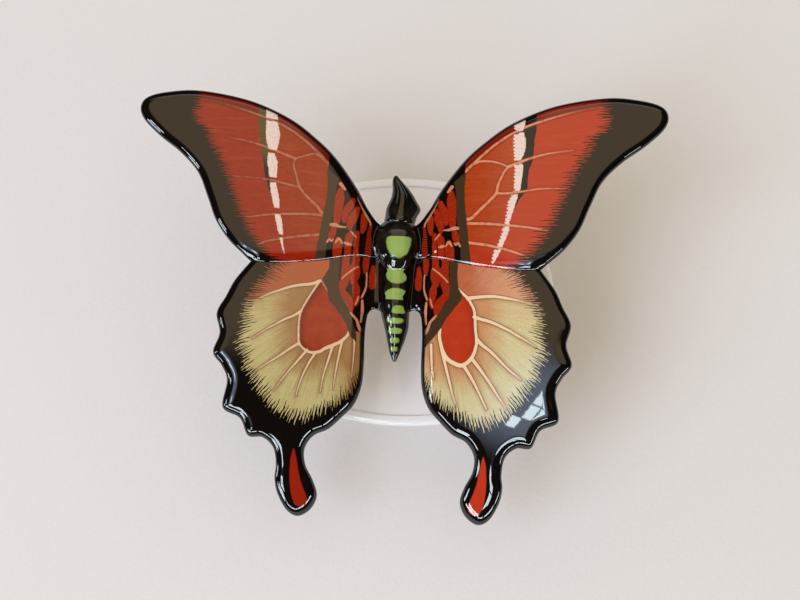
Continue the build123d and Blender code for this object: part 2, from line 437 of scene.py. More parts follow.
@dataclass(frozen=True)
class WingGlaze:
    """Natural wing markings painted under a clear glossy glaze.

    A share says how much of a paint covers what is under it. Patches give their count in a millimetre of
    reach and of station, and a seed. Outlines give how unsteady the hand was along each of them and how
    soft the edge is. What is named right is laid on the right wings alone, by the painted field "pale".
    The right wings' lighter tones are partly paler paint and partly painted light, for the stronger light
    and the reflected sheen that fall on them.
    """

    black: Colour = srgb(10, 8, 7)
    soot: Colour = srgb(16, 10, 8)
    brown_black: Colour = srgb(66, 48, 30)
    red: Colour = srgb(150, 34, 12)
    deep_red: Colour = srgb(98, 12, 6)
    orange: Colour = srgb(160, 64, 14)
    salmon: Colour = srgb(180, 84, 50)
    vein_tint: Colour = srgb(214, 140, 104)
    tan: Colour = srgb(158, 116, 70)
    # Lighter red of the right wings: partly paler paint, partly painted light for the stronger light and
    # sheen on them.
    right_paler_lit_red: Colour = srgb(230, 78, 46)
    ior: float = 1.58
    roughness: float = 0.016
    uneven_gloss: float = 0.02
    gloss_patches: float = 90.0
    orange_peel: float = 0.000003
    peel_patches: float = 420.0
    unsteady: float = 0.55
    hand_patches: Triple = (0.8, 0.8, 0.0)
    cloud_patches: Triple = (0.12, 0.9, 0.0)
    grain_patches: Triple = (0.5, 3.2, 0.0)
    outlines: dict[str, Pair] = field(default_factory=lambda: {
        "band": (0.6, 0.1), "zone": (0.4, 0.12), "cells": (0.45, 0.16), "basal": (0.5, 0.1),
        "stubs": (0.25, 0.1), "root": (0.8, 0.25), "hatched": (0.3, 0.12), "lens": (0.3, 0.12),
        "drop": (0.3, 0.15),
    })
    mottle_patches: Triple = (1.6, 1.6, 9.0)
    hair_slim: float = 4.2
    hair_steep: float = 1.9
    hair_sway: float = 1.6
    sway_patches: Pair = (0.4, 0.25)
    hair_least: float = 0.4
    long_hairs: Pair = (1.5, 3.0)
    short_hairs: Pair = (2.9, 11.0)
    short_share: float = 0.7
    pale_hairs: Pair = (2.2, 29.0)
    uneven_patches: Pair = (0.22, 0.05)
    under_share: float = 0.35
    rim: Pair = (1.0, 0.25)

    def hairs(self, tree: Tree, count: float, seed: float) -> Val:
        """Painted hairs side by side, each with its own length.

        The place across the hairs is counted in hairs and split into a whole number and a rest. The whole
        number draws the length, and the rest makes the hair: one less its distance from a half times
        how slim it is, made steep so that the hair is a thin line with a point.

        Args:
            tree: Tree of the finish.
            count: Hairs in a millimetre.
            seed: Start of the draw.

        Returns:
            Share of the longest hair, between 0 and 1.
        """
        across, along = tree.painted("hair"), tree.painted("fringe")
        sway = tree.noise(tree.spot(across * self.sway_patches[0], along * self.sway_patches[1], seed), 1.0)
        lane = across * count + sway * self.hair_sway
        point = ((1.0 - lane.off_half() * self.hair_slim) * self.hair_steep).held()
        return point * (self.hair_least + tree.lot(lane.whole(), seed) * (1.0 - self.hair_least))

    def fringe(self, tree: Tree, dark: Val | float, pale: float) -> Val:
        """Signed distance past the hairy edge of the black margin.

        Args:
            tree: Tree of the finish.
            dark: Longest black hair, in millimetres.
            pale: Longest pale hair, in millimetres.

        Returns:
            Millimetres, over zero on the black.
        """
        across, along = tree.painted("hair"), tree.painted("fringe")
        short = self.hairs(tree, *self.short_hairs) * self.short_share
        black_hairs = self.hairs(tree, *self.long_hairs).larger(short)
        place = tree.spot(across * self.uneven_patches[0], along * self.uneven_patches[1], 4.0)
        uneven = tree.noise(place, 1.0) - 0.5
        return along + black_hairs * dark - self.hairs(tree, *self.pale_hairs) * pale + uneven

    def root_coats(self, coats: Coats) -> None:
        """Lay the dark root zone with red cells, the basal dark band, pale vein stubs and the black root.

        Args:
            coats: Coats so far.
        """
        tree = coats.tree
        mottle = coats.patches(self.mottle_patches, 3.0)
        coats.lay(coats.inside("zone"), tree.blend(mottle.rise(0.45, 0.9) * 0.3, self.black, self.deep_red))
        coats.lay(coats.inside("cells"), tree.blend(mottle.rise(0.45, 0.75) * 0.7, self.red, self.orange))
        coats.lay(coats.inside("basal"), self.brown_black)
        coats.lay(coats.inside("stubs") * (0.55 + mottle * 0.6), self.vein_tint)
        coats.lay(coats.inside("root"), self.black)

    def finish(self, coats: Coats) -> None:
        """Close the coats: a duller underside, a black rim, and a clear glaze with a faint orange peel.

        Args:
            coats: Coats of the whole wing.
        """
        tree = coats.tree
        coats.lay(tree.painted("under") * self.under_share, self.tan)
        coats.lay(tree.painted("rim").below(*self.rim), self.black)
        gloss = self.roughness + tree.noise(tree.place(), self.gloss_patches, 3.0) * self.uneven_gloss
        peel = tree.bump(tree.noise(tree.place(), self.peel_patches), self.orange_peel)
        tree.glaze(coats.colour, gloss, peel, self.ior)


@dataclass(frozen=True)
class ForewingGlaze(WingGlaze):
    """Forewing: red field with an orange inner part, white bar, dark bands and a black margin."""

    bar_white: Colour = srgb(228, 204, 190)
    olive: Colour = srgb(84, 72, 24)
    inner_orange: Pair = (0.45, 0.7)
    left_orange: float = 0.4
    deep_share: float = 0.5
    salmon_share: float = 0.25
    # How much lighter red the right wings get: partly paler paint, partly painted light.
    right_share: float = 0.23
    right_grain: float = 0.12
    right_inner: float = 0.14
    costa_share: float = 0.8
    olive_span: Pair = (21.0, 27.0)
    vein_unsteady: float = 0.35
    vein_shade: float = 0.35
    vein_soft: float = 0.14
    faint_patches: Triple = (0.7, 0.7, 5.0)
    left_vein: Pair = (0.14, 0.4)
    right_vein: Pair = (0.36, 0.3)
    scallop_patches: Triple = (1.1, 1.6, 2.0)
    bar_rough: float = 0.5
    bar_soft: float = 0.12
    knob_count: float = 1.15
    knob_shift: float = 1.5
    knob_size: float = 0.42
    speck_patches: Triple = (2.2, 1.8, 7.0)
    speck_share: float = 0.6
    hatch_count: float = 1.7
    hatch_share: float = 0.8
    left_hair: float = 2.4
    right_hair: float = 1.4
    pale_hair: float = 1.2
    left_crisp: float = 0.5
    hair_soft: float = 0.4

    def field_coats(self, coats: Coats) -> None:
        """Lay the red field: orange to the inside, grained with deep red, and a darker leading edge.

        Args:
            coats: Coats so far.
        """
        tree, pale, cloud, grain = coats.tree, coats.pale, coats.cloud, coats.grain
        warm = tree.painted("inner") * (self.inner_orange[0] + cloud * self.inner_orange[1])
        warm = warm * (self.left_orange + pale * (1.0 - self.left_orange))
        coats.lay(warm.smaller(1.0), self.orange)
        coats.lay((grain - 0.42).rise(0.0, 0.4) * self.deep_share, self.deep_red)
        coats.lay(cloud.rise(0.5, 0.75) * self.salmon_share, self.salmon)
        # Painted light in part: the right wings get a lighter red, partly paler paint, partly for the
        # stronger light and sheen.
        bright = self.right_share + grain * self.right_grain - tree.painted("inner") * self.right_inner
        coats.lay(pale * bright, self.right_paler_lit_red)
        coats.lay(tree.painted("costa").below(1.2, 1.1) * self.costa_share, self.deep_red)

    def vein_coats(self, coats: Coats) -> None:
        """Lay the veins: a soft shade, then a thin pale line that is fainter on the left wing.

        Args:
            coats: Coats so far.
        """
        tree, pale = coats.tree, coats.pale
        vein = tree.painted("vein") + coats.wobble * self.vein_unsteady
        coats.lay(vein.below(0.35, 0.35) * self.vein_shade, self.deep_red)
        faint = coats.patches(self.faint_patches).rise(0.2, 0.65)
        left, right = (least + faint * more for least, more in (self.left_vein, self.right_vein))
        firm = (left + pale * right).smaller(1.0)
        coats.lay(vein.below(0.0, self.vein_soft) * firm * tree.painted("vein_fade"), self.vein_tint)

    def bar_coats(self, coats: Coats) -> None:
        """Lay the white bar, speckled with salmon, with knobs along its inner side on the right wing.

        Args:
            coats: Coats so far.
        """
        tree = coats.tree
        scallop = coats.patches(self.scallop_patches) - 0.5
        dab = (coats.v * self.knob_count + scallop * self.knob_shift).off_half()
        knob = dab.rise(0.15, 0.5) * tree.painted("bar_side").below(0.0, 0.4)
        bar = tree.painted("bar") + scallop * self.bar_rough + knob * coats.pale * self.knob_size
        speck = coats.patches(self.speck_patches, 3.0).rise(0.56, 0.72) * self.speck_share
        coats.lay(bar.below(0.0, self.bar_soft), tree.blend(speck, self.bar_white, self.salmon))

    def build(self) -> Material:
        """Lay every coat of the forewing, from the red field to the black margin.

        Returns:
            The material.
        """
        material, tree = new_finish("forewing_glaze")
        coats = Coats(tree, self)
        v, pale = coats.v, coats.pale
        self.field_coats(coats)
        olive = (1.0 - pale) * v.rise(*self.olive_span) * (0.5 + coats.cloud)
        coats.lay(coats.inside("band"), tree.blend(olive.smaller(1.0), self.soot, self.olive))
        self.vein_coats(coats)
        self.bar_coats(coats)
        self.root_coats(coats)
        line = (v * self.hatch_count + coats.wobble * 0.8).off_half().rise(0.22, 0.4) * self.hatch_share
        coats.lay(coats.inside("hatched") * (1.0 - line), self.red)
        crisp = self.left_crisp + pale * (1.0 - self.left_crisp)
        fringe = self.fringe(tree, self.left_hair + pale * self.right_hair, self.pale_hair) * crisp
        coats.lay(fringe.rise(-self.hair_soft, self.hair_soft), self.soot)
        self.finish(coats)
        return material


@dataclass(frozen=True)
class HindwingGlaze(WingGlaze):
    """Hindwing: red cell, cream veins over tan and straw, hairy black margin and a red tail drop."""

    cream: Colour = srgb(236, 202, 162)
    brown: Colour = srgb(112, 64, 32)
    straw: Colour = srgb(192, 179, 122)
    bright_tan: Colour = srgb(166, 88, 54)
    # Lighter straw, tan and top of the right wings: partly paler paint, partly painted light for the stronger
    # light and sheen on them.
    right_paler_lit_straw: Colour = srgb(212, 206, 158)
    right_paler_lit_tan: Colour = srgb(196, 141, 94)
    right_paler_lit_top: Colour = srgb(234, 182, 142)
    cloud_patches: Triple = (0.35, 0.35, 3.0)
    grain_patches: Triple = (2.6, 2.6, 6.0)
    streak_patches: Pair = (1.6, 0.12)
    right_straw_share: float = 0.6
    streak_spread: float = 0.9
    warm_spread: float = 0.5
    hot_spread: float = 0.6
    left_thin: float = 0.09
    left_fade: float = 2.0
    vein_unsteady: float = 0.25
    vein_shade: float = 1.05
    outline_share: float = 0.85
    outline: Pair = (0.2, 0.14)
    vein_soft: float = 0.1
    right_top_share: float = 0.5
    hot_share: float = 0.85
    grain_share: float = 0.3
    orange_share: float = 0.45
    right_cell_share: float = 0.2
    right_cell_grain: float = 0.2
    right_drop_grain: float = 0.3
    cell_soft: float = 0.12
    dark_hair: float = 3.9
    pale_hair: float = 1.4
    hair_soft: float = 0.22

    def field_coats(self, coats: Coats, vein: Val, fade: Val) -> None:
        """Lay the tan round the red cell, which turns to straw outwards, and the warm upper part.

        Args:
            coats: Coats so far.
            vein: Signed distance to the veins.
            fade: How firm they are.
        """
        tree, pale, cloud = coats.tree, coats.pale, coats.cloud
        often_across, often_along = self.streak_patches
        place = tree.spot(tree.painted("hair") * often_across, tree.painted("fringe") * often_along)
        streaks = tree.noise(place, 1.0, 3.0)
        streaky = (streaks - 0.5) * self.streak_spread
        # Painted light in part: lighter straw and tan on the right wings.
        light = tree.blend(pale * self.right_straw_share, self.straw, self.right_paler_lit_straw)
        warm = (tree.painted("warm") + (cloud - 0.5) * self.warm_spread + streaky).held()
        coats.colour = tree.blend(warm, light, tree.blend(pale, self.tan, self.right_paler_lit_tan))
        shade = vein.below(0.5, 0.8) * (streaks - 0.1) * fade
        coats.lay(shade.larger(0.0) * self.vein_shade, self.brown)
        hot = (tree.painted("hot") + streaky + (cloud - 0.5) * self.hot_spread).held()
        # Painted light in part: a lighter top on the right wings.
        top = tree.blend(pale * self.right_top_share, self.bright_tan, self.right_paler_lit_top)
        coats.lay(tree.painted("upper"), tree.blend(hot * self.hot_share, top, self.salmon))
        coats.lay(coats.grain.rise(0.5, 0.8) * self.grain_share, self.brown)

    def cell_coats(self, coats: Coats, vein: Val, fade: Val) -> None:
        """Lay the red cell, clouded with orange and darker at its inner edge, and the veins over it.

        Args:
            coats: Coats so far.
            vein: Signed distance to the veins.
            fade: How firm they are.
        """
        tree, grain = coats.tree, coats.grain
        red = tree.blend(coats.cloud.rise(0.35, 0.7) * self.orange_share, self.red, self.orange)
        red = tree.blend(tree.painted("cell_edge") * (0.5 + grain * 0.5), red, self.deep_red)
        # Painted light in part: a lighter red cell on the right wings.
        light = coats.pale * (self.right_cell_share + grain * self.right_cell_grain)
        red = tree.blend(light, red, self.right_paler_lit_red)
        coats.lay(tree.painted("cell").below(0.0, self.cell_soft), red)
        coats.lay(vein.below(*self.outline) * fade * self.outline_share, self.brown)
        coats.lay(vein.below(0.0, self.vein_soft) * fade * (0.8 + grain * 0.4).smaller(1.0), self.cream)

    def build(self) -> Material:
        """Lay every coat of the hindwing, from the straw field to the red drop in the tail.

        Returns:
            The material.
        """
        material, tree = new_finish("hindwing_glaze")
        coats = Coats(tree, self)
        thin = (1.0 - coats.pale) * self.left_thin
        vein = tree.painted("vein") + coats.wobble * self.vein_unsteady + thin
        fade = tree.painted("vein_fade") * (1.0 - thin * self.left_fade)
        self.field_coats(coats, vein, fade)
        self.cell_coats(coats, vein, fade)
        self.root_coats(coats)
        coats.lay(coats.inside("lens"), self.black)
        fringe = self.fringe(tree, self.dark_hair, self.pale_hair)
        coats.lay(fringe.rise(-self.hair_soft, self.hair_soft), self.soot)
        # Painted light in part: a lighter red drop on the right wings.
        light = coats.pale * (self.right_cell_share + coats.grain * self.right_drop_grain)
        coats.lay(coats.inside("drop"), tree.blend(light, self.red, self.right_paler_lit_red))
        self.finish(coats)
        return material


@dataclass(frozen=True)
class BodyGlaze:
    """Glossy black body glaze with light green patches and a painted olive sheen. Counts of patches are for a
    metre.
    """

    black: Colour = srgb(14, 13, 11)
    # Painted reflection: olive sheen of the ceiling, laid over the black in cloudy patches.
    soot: Colour = srgb(54, 48, 28)
    green: Colour = srgb(126, 156, 66)
    pale_green: Colour = srgb(150, 174, 92)
    ior: float = 1.58
    roughness: float = 0.04
    uneven_gloss: float = 0.03
    cloud_patches: float = 260.0
    olive_sheen_share: float = 0.5
    green_patches: float = 330.0
    hand_patches: float = 900.0
    unsteady: float = 0.25
    patch_soft: float = 0.12
    dimples: float = 380.0
    dimple_depth: float = 0.000015

    def build(self) -> Material:
        """Make the material: patches painted as a field, with uneven enamel inside them.

        Returns:
            The material.
        """
        material, tree = new_finish("body_glaze")
        at = tree.place()
        cloud = tree.noise(at, self.cloud_patches, 3.0)
        # Painted reflection: cloudy patches of olive sheen over the black.
        black = tree.blend(cloud.rise(0.4, 0.75) * self.olive_sheen_share, self.black, self.soot)
        green = tree.blend(tree.noise(at, self.green_patches, 3.0), self.green, self.pale_green)
        patch = tree.painted("patch") + (tree.noise(at, self.hand_patches) - 0.5) * self.unsteady
        colour = tree.blend(patch.below(0.0, self.patch_soft), black, green)
        dimples = tree.bump(tree.noise(at, self.dimples), self.dimple_depth)
        tree.glaze(colour, self.roughness + cloud * self.uneven_gloss, dimples, self.ior)
        return material


@dataclass(frozen=True)
class WhiteGlaze:
    """White porcelain under clear glaze, with a bare biscuit foot. Its lengths are metres."""

    white: Colour = srgb(247, 248, 250)
    cream: Colour = srgb(243, 242, 238)
    biscuit: Colour = srgb(214, 206, 192)
    ior: float = 1.52
    roughness: float = 0.06
    bare_roughness: float = 0.55
    cloud_patches: float = 55.0
    cream_share: float = 0.6
    glaze_line: float = 0.0006
    line_soft: float = 0.00012
    line_sway: float = 0.0004
    sway_patches: float = 240.0
    grit_patches: float = 2600.0
    pool_patches: float = 260.0
    pool_share: float = 0.25
    grit_depth: float = 0.00006

    def build(self) -> Material:
        """Make the material: faint cream clouds, pooled glaze, and a rough foot ring under the glaze line.

        Returns:
            The material.
        """
        material, tree = new_finish("white_glaze")
        at = tree.place()
        cloud = tree.noise(at, self.cloud_patches, 4.0)
        glazed = tree.blend(cloud.rise(0.35, 0.8) * self.cream_share, self.white, self.cream)
        height = tree.node("ShaderNodeSeparateXYZ", {}, {0: at}, "Z")
        line = height + (tree.noise(at, self.sway_patches) - 0.5) * self.line_sway
        bare = line.below(self.glaze_line, self.line_soft)
        colour = tree.blend(bare, glazed, self.biscuit)
        grit = tree.noise(at, self.grit_patches) * bare + tree.noise(at, self.pool_patches) * self.pool_share
        roughness = self.roughness + bare * self.bare_roughness
        tree.glaze(colour, roughness, tree.bump(grit, self.grit_depth), self.ior)
        return material


@dataclass
class Markings:
    """Painted fields of one wing, worked out from curves given on its plan."""

    root_edge: float = 6.1
    root_sway: float = 0.25
    root_waves: float = 0.9
    cell_swell: float = 0.14
    zone_lap: float = 0.4
    basal_inner: int = 11
    vein_taper: float = 0.5

    def strokes(self, plan: Array, strokes: list[Stroke]) -> Array:
        """Least signed distance to brush strokes, each a centre line with its own half width at each point.

        Args:
            plan: Places on the plan.
            strokes: Reach, station and half width of each point of each stroke.

        Returns:
            Millimetres, under zero inside a stroke.
        """
        fields = []
        for stroke in strokes:
            line = smooth_curve(stroke, 6)
            gap, share = line_distance(plan, line[:, :2])
            fields.append(gap - np.interp(share, np.linspace(0, 1, len(line)), line[:, 2]))
        return np.minimum.reduce(fields)

    def inside(self, plan: Array, ring: Array) -> Array:
        """Whether places lie inside a closed ring, by how often a ray to the right crosses it.

        Args:
            plan: Places on the plan.
            ring: Points of the ring, the first one repeated at the end.

        Returns:
            True inside.
        """
        x0, y0, x1, y1 = ring[:-1, 0], ring[:-1, 1], ring[1:, 0], ring[1:, 1]
        u, v = plan[:, :1], plan[:, 1:]
        spans = (y0 > v) != (y1 > v)
        rise = np.where(np.abs(y1 - y0) < 1e-9, 1e-9, y1 - y0)
        return ((spans & (u < x0 + (v - y0) / rise * (x1 - x0))).sum(axis=1) % 2) == 1

    def patch(self, plan: Array, outline: Points) -> Array:
        """Signed distance to a patch with straight sides: the distance to its outline, minus inside."""
        ring = np.vstack([outline, outline[:1]]).astype(float)
        return line_distance(plan, ring)[0] * np.where(self.inside(plan, ring), -1.0, 1.0)

    def root_field(self, plan: Array) -> Array:
        """Distance outside the black root."""
        return plan[:, 0] - self.root_edge + self.root_sway * np.sin(plan[:, 1] * self.root_waves)

    def reach_of(self, line: Points, v: Array) -> Array:
        """Reach of a given line at each station, straight from point to point."""
        rows = np.array(sorted(line, key=lambda row: row[1]))
        return np.interp(v, rows[:, 1], rows[:, 0])

    def vein_field(self, plan: Array, veins: Veins) -> Array:
        """Least signed distance to the veins, each a ribbon that tapers to its outer end.

        Args:
            plan: Places on the plan.
            veins: Half width at the inner end and centre line of each vein.

        Returns:
            Millimetres, under zero inside a vein.
        """
        fields = []
        for half, line in veins:
            gap, share = line_distance(plan, smooth_curve(line))
            fields.append(gap - half * (1 - self.vein_taper * share))
        return np.minimum.reduce(fields)


@dataclass
class ForewingMarkings(Markings):
    """Markings of the right forewing.

    Strokes give reach, station and half width, and the bar's rows give station, reach and half width.
    """

    bar_rows: Stroke = listed(
        (-1, 23.4, -0.6), (0, 23.9, 0.25), (1.3, 24.4, 0.6), (2.6, 24.8, 0.8), (4, 25.4, 0.75),
        (5.8, 26.2, 0.7), (8.2, 26.9, 0.85), (10.2, 27.2, 0.55), (11.4, 27.4, 0.7), (13.2, 27.8, 0.8),
        (14.9, 28.1, 1.05), (16.9, 28.8, 0.85), (18.1, 29.3, 0.75), (19.4, 29.4, 0.9), (21.8, 29.45, 1),
        (24.1, 29.6, 1.05), (25.6, 29.2, 0.8), (26.8, 29.5, 1.2), (28.8, 29.6, 1.5), (30.6, 29.5, 1.55),
        (33.1, 29.3, 1), (34.4, 29.4, 1.4), (38, 29.3, 1.5),
    )
    bar_gaps: Points = listed((4.5, 0.2), (9.8, 0.22), (17.6, 0.4), (25.1, 0.45), (32.7, 0.2))
    band_outer: Points = listed(
        (33.6, 38), (33.6, 33), (33.2, 30.5), (33.1, 28), (32.95, 25.5), (32.1, 23), (31.8, 20.5),
        (31.85, 18.6), (31.6, 17.8), (30.8, 16.9), (29.9, 15.6), (29.3, 14.4), (28.75, 13.2), (28.3, 11.9),
        (27.9, 10.7), (26.9, 8), (25, 4), (23, -2),
    )
    margin: Points = listed(
        (28, -2), (29, -1), (31.5, 0.4), (33.8, 2.6), (35.6, 5), (37.3, 8), (38.8, 10.8), (39.9, 13.6),
        (41, 16.5), (42.3, 19.2), (43.5, 22.3), (44.9, 25), (46.9, 27.8), (47.5, 30), (48.6, 31.6),
        (50.7, 32.6), (50.9, 35), (50.7, 38.2), (50.5, 41),
    )
    basal: Points = listed(
        (16.8, 22.8), (16.5, 19), (16.6, 16), (16.9, 13.5), (17.25, 11), (17.45, 9.5), (17.8, 7),
        (18.05, 5), (18.3, 3.5), (18.55, 1.5), (18.9, -1), (16.4, -1), (16.1, 2), (16, 4), (15.85, 5.8),
        (15.3, 8.5), (14.9, 11), (14.6, 14), (14.45, 17), (14.2, 19), (13.8, 20.4), (15, 21.4),
        (16.1, 22.3),
    )
    cells: list[Stroke] = listed(
        [(13.3, 17.6, 0.5), (13.35, 15.9, 1), (13.6, 13.35, 0.95), (13.8, 11.3, 0.8), (13.85, 9.6, 0.7)],
        [(10.6, 15.2, 0.45), (11.3, 13.6, 0.8), (12, 12.1, 0.75), (12.2, 10.6, 0.6), (12.2, 9.85, 0.35)],
        [(9.6, 13.2, 0.45), (10.15, 11.65, 0.85), (10.6, 10.4, 0.98), (11, 9.1, 0.7), (11.05, 8.1, 0.4)],
        [(8.5, 11.6, 0.35), (8.3, 10.2, 0.67), (8.35, 8.7, 0.6), (8.55, 7.45, 0.3)],
        [(10.7, 6.9, 0.48), (11, 5.9, 0.85), (11.2, 4.6, 0.8)],
        [(14.5, 7.6, 0.6), (14.85, 6.3, 0.75), (15.1, 5.6, 0.55)],
        [(13.3, 5.3, 0.35), (13.3, 4.3, 0.85), (13.35, 3.1, 1), (13.5, 1.6, 0.9), (13.5, 0.2, 0.6)],
        [(11.2, 3.6, 0.65), (11.3, 1.85, 0.7), (11.4, 0.4, 0.5)],
        [(9.45, 7.15, 0.34), (9.5, 5.4, 0.4), (9.6, 3.4, 0.45), (9.7, 1.4, 0.5)],
    )
    hatched: list[Stroke] = listed([(6.7, 9.1, 0.35), (7, 7.3, 0.45), (7, 4.8, 0.7), (7.1, 2.25, 0.75)])
    stubs: list[Stroke] = listed(
        [(11.8, 8.3, 0.17), (13, 8.35, 0.3), (14.25, 8.7, 0.47), (15.2, 8.7, 0.35)],
        [(10.6, 4, 0.2), (11.3, 4.2, 0.38), (11.9, 4.35, 0.25)],
        [(9.6, 5.9, 0.12), (10.2, 6.6, 0.2), (10.8, 7.4, 0.12)],
        [(14.4, 5.1, 0.15), (14.9, 4.6, 0.24), (15.4, 5.1, 0.2), (15.9, 4.3, 0.25)],
        [(12.4, 4.3, 0.2), (13.1, 5.3, 0.3), (13.9, 4.3, 0.2)],
        [(13.35, 19.15, 0.45), (12.4, 17.9, 0.3)],
    )
    costa_root: Stroke = listed(
        (6.8, 9.1, 0.21), (6.9, 10.1, 0.25), (7.6, 11.3, 0.34), (8.3, 12.5, 0.35), (8.9, 13.7, 0.33),
        (9.5, 14.7, 0.26), (10.2, 16.2, 0.2),
    )
    costa_half: float = 0.36
    costa: Points = listed(
        (15.8, 22.3), (18.5, 24.9), (21, 27.3), (24, 29.8), (27.5, 32.1), (31.5, 34), (36, 35.5),
        (41, 36.9), (46, 38), (51, 38.5),
    )
    veins: Veins = listed(
        (0.3, [(18.7, 24.9), (20.1, 25.4), (22.5, 25.4), (25, 24.8), (27, 23.9)]),
        (0.4, [(16.2, 11.2), (18.2, 11.1), (20.5, 13.3), (22.9, 15.7), (24.3, 17.4), (24.7, 19.4),
               (25.4, 21.2), (26.1, 22.7), (27, 23.9)]),
        (0.36, [(27, 23.9), (28.6, 24.5), (29.8, 25), (32.2, 25.9), (34.6, 26.6), (37, 27.1),
                (42.5, 27.8)]),
        (0.26, [(24.3, 17.4), (26.5, 17.3), (29.1, 17.5), (31.7, 17.9), (34.5, 18.3), (37, 18.4),
                (41, 18.4)]),
        (0.34, [(17.4, 9.9), (22, 9.8), (27.2, 9.4), (32, 8.9), (37, 8.1)]),
        (0.34, [(17.4, 5.2), (22, 4.6), (25.2, 3.9), (28.5, 3), (32, 1.8), (34.5, 0.9)]),
    )

    gap_slant: float = 0.14
    gap_reach: float = 30.5
    bar_lap: float = 0.8
    costa_lift: float = 0.9
    costa_shade: float = 3.0
    costa_thin: float = 0.05
    band_end: Pair = (11.5, 9.0)
    band_close: float = 4.0
    vein_fading: float = 0.8
    vein_span: Pair = (33.0, 46.0)
    inner_across: Pair = (0.0, -4.5)
    inner_along: Pair = (-1.0, 6.0)

    def fields(self, plan: Array) -> dict[str, Array]:
        """Every painted field of the forewing.

        The bar is the distance to its middle line less its half width there, cut by slanting gaps. The
        dark band lies between the bar's side and its own outer line. The zone lies on the body's side of
        the basal band.

        Args:
            plan: Places on the plan.

        Returns:
            One number for each place, by the field's name.
        """
        u, v = plan[:, 0], plan[:, 1]
        rows = np.array(self.bar_rows)
        bar_side = u - np.interp(v, rows[:, 0], rows[:, 1])
        bar_half = np.interp(v, rows[:, 0], rows[:, 2])
        bar = np.abs(bar_side) - bar_half
        for at, half in self.bar_gaps:
            bar = np.maximum(bar, half - np.abs(v - at - self.gap_slant * (u - self.gap_reach)))
        past_band = u - self.reach_of(self.band_outer, v)
        inner_side = self.basal[self.basal_inner:][::-1] + self.basal[self.basal_inner - 1:self.basal_inner]
        line = np.array(self.costa)
        below_costa = np.interp(u, line[:, 0], line[:, 1]) - v
        costa = line_distance(plan, smooth_curve([(x, y + self.costa_lift) for x, y in self.costa]))[0]
        costa_root = self.strokes(plan, [self.costa_root]) + self.costa_thin
        return {
            "fringe": u - self.reach_of(self.margin, v),
            "hair": v,
            "bar": bar,
            "bar_side": bar_side,
            "band": np.maximum(self.bar_lap * bar_half - bar_side, past_band)
            + self.band_close * smoothstep(*self.band_end, v),
            "basal": self.patch(plan, self.basal),
            "zone": u - self.reach_of(inner_side, v) - self.zone_lap,
            "cells": self.strokes(plan, self.cells) - self.cell_swell,
            "hatched": self.strokes(plan, self.hatched),
            "stubs": np.minimum(self.strokes(plan, self.stubs), costa_root),
            "root": self.root_field(plan),
            "vein": self.vein_field(plan, [(self.costa_half, self.costa), *self.veins]),
            "vein_fade": 1.0 - self.vein_fading * smoothstep(*self.vein_span, u),
            "inner": smoothstep(*self.inner_across, past_band) * smoothstep(*self.inner_along, v),
            "costa": costa + self.costa_shade * smoothstep(0.0, self.costa_shade, below_costa),
        }


@dataclass
class LeftForewingMarkings(ForewingMarkings):
    """Markings of the left forewing, whose white bar stands further out and has wider gaps."""

    bar_rows: Stroke = listed(
        (-1, 27, -0.6), (1.2, 27.3, 0.1), (2.1, 27.6, 0.2), (4.3, 28.1, 0.32), (6.3, 28.4, 0.6),
        (8.5, 28.9, 0.75), (10.5, 29.35, 0.7), (12.2, 29.65, 0.65), (14, 29.95, 0.85), (16.2, 30.5, 0.85),
        (18.2, 30.9, 0.75), (19.7, 31, 0.9), (21.5, 31.1, 1.05), (23.8, 31.35, 1.25), (25.4, 31.7, 0.8),
        (26.8, 31.4, 1), (28.6, 31.5, 1.5), (30.9, 31.6, 1.75), (33, 31.9, 1.45), (38, 32.4, 1.3),
    )
    bar_gaps: Points = listed((5.4, 0.4), (11.4, 0.75), (19, 0.65), (26.1, 0.45), (34, 0.3))
    band_outer: Points = listed(
        (35.7, 38), (35.2, 33), (34.75, 30), (34.2, 26.5), (33.4, 22.5), (32.8, 19.5), (31.9, 17),
        (30.85, 14), (29.6, 11), (28.3, 8), (27, 4), (25, -2),
    )
    veins: Veins = listed(
        (0.3, [(18.7, 24.9), (20.8, 26.3), (23.3, 25.7), (25.8, 24.8)]),
        (0.4, [(16.2, 11.8), (18.4, 11.4), (20, 13.2), (22.3, 15.2), (24.3, 17.5), (25.2, 20.2), (26.1, 23),
               (25.8, 24.8)]),
        (0.36, [(25.8, 24.8), (29, 25.9), (32.5, 27.1), (37, 28.3), (42.5, 29.2)]),
        (0.26, [(24.4, 17.6), (27.5, 18.2), (31, 18.9), (35, 19.3), (41, 19.4)]),
        (0.34, [(17.4, 10.9), (22, 11), (27, 10.7), (32, 10.2), (37, 9.2)]),
        (0.34, [(17.4, 6.2), (22, 5.6), (27, 4.7), (31.5, 3.6), (34.5, 2.3)]),
    )
    basal_shift: float = 1.1
    shift_start: float = 8.0
    shift_run: float = 5.0

    def __post_init__(self) -> None:
        """Set the band at the root, the red cells and the vein stubs further out, as on this side."""
        self.basal = self.outward(self.basal)
        self.cells, self.stubs = ([self.outward(row) for row in rows] for rows in (self.cells, self.stubs))

    def outward(self, rows: Rings) -> Rings:
        """Rows with a greater reach, where the shift rises evenly over a short run from the body."""
        share = [min(max((row[0] - self.shift_start) / self.shift_run, 0.0), 1.0) for row in rows]
        return [(u + self.basal_shift * part, *rest) for (u, *rest), part in zip(rows, share)]


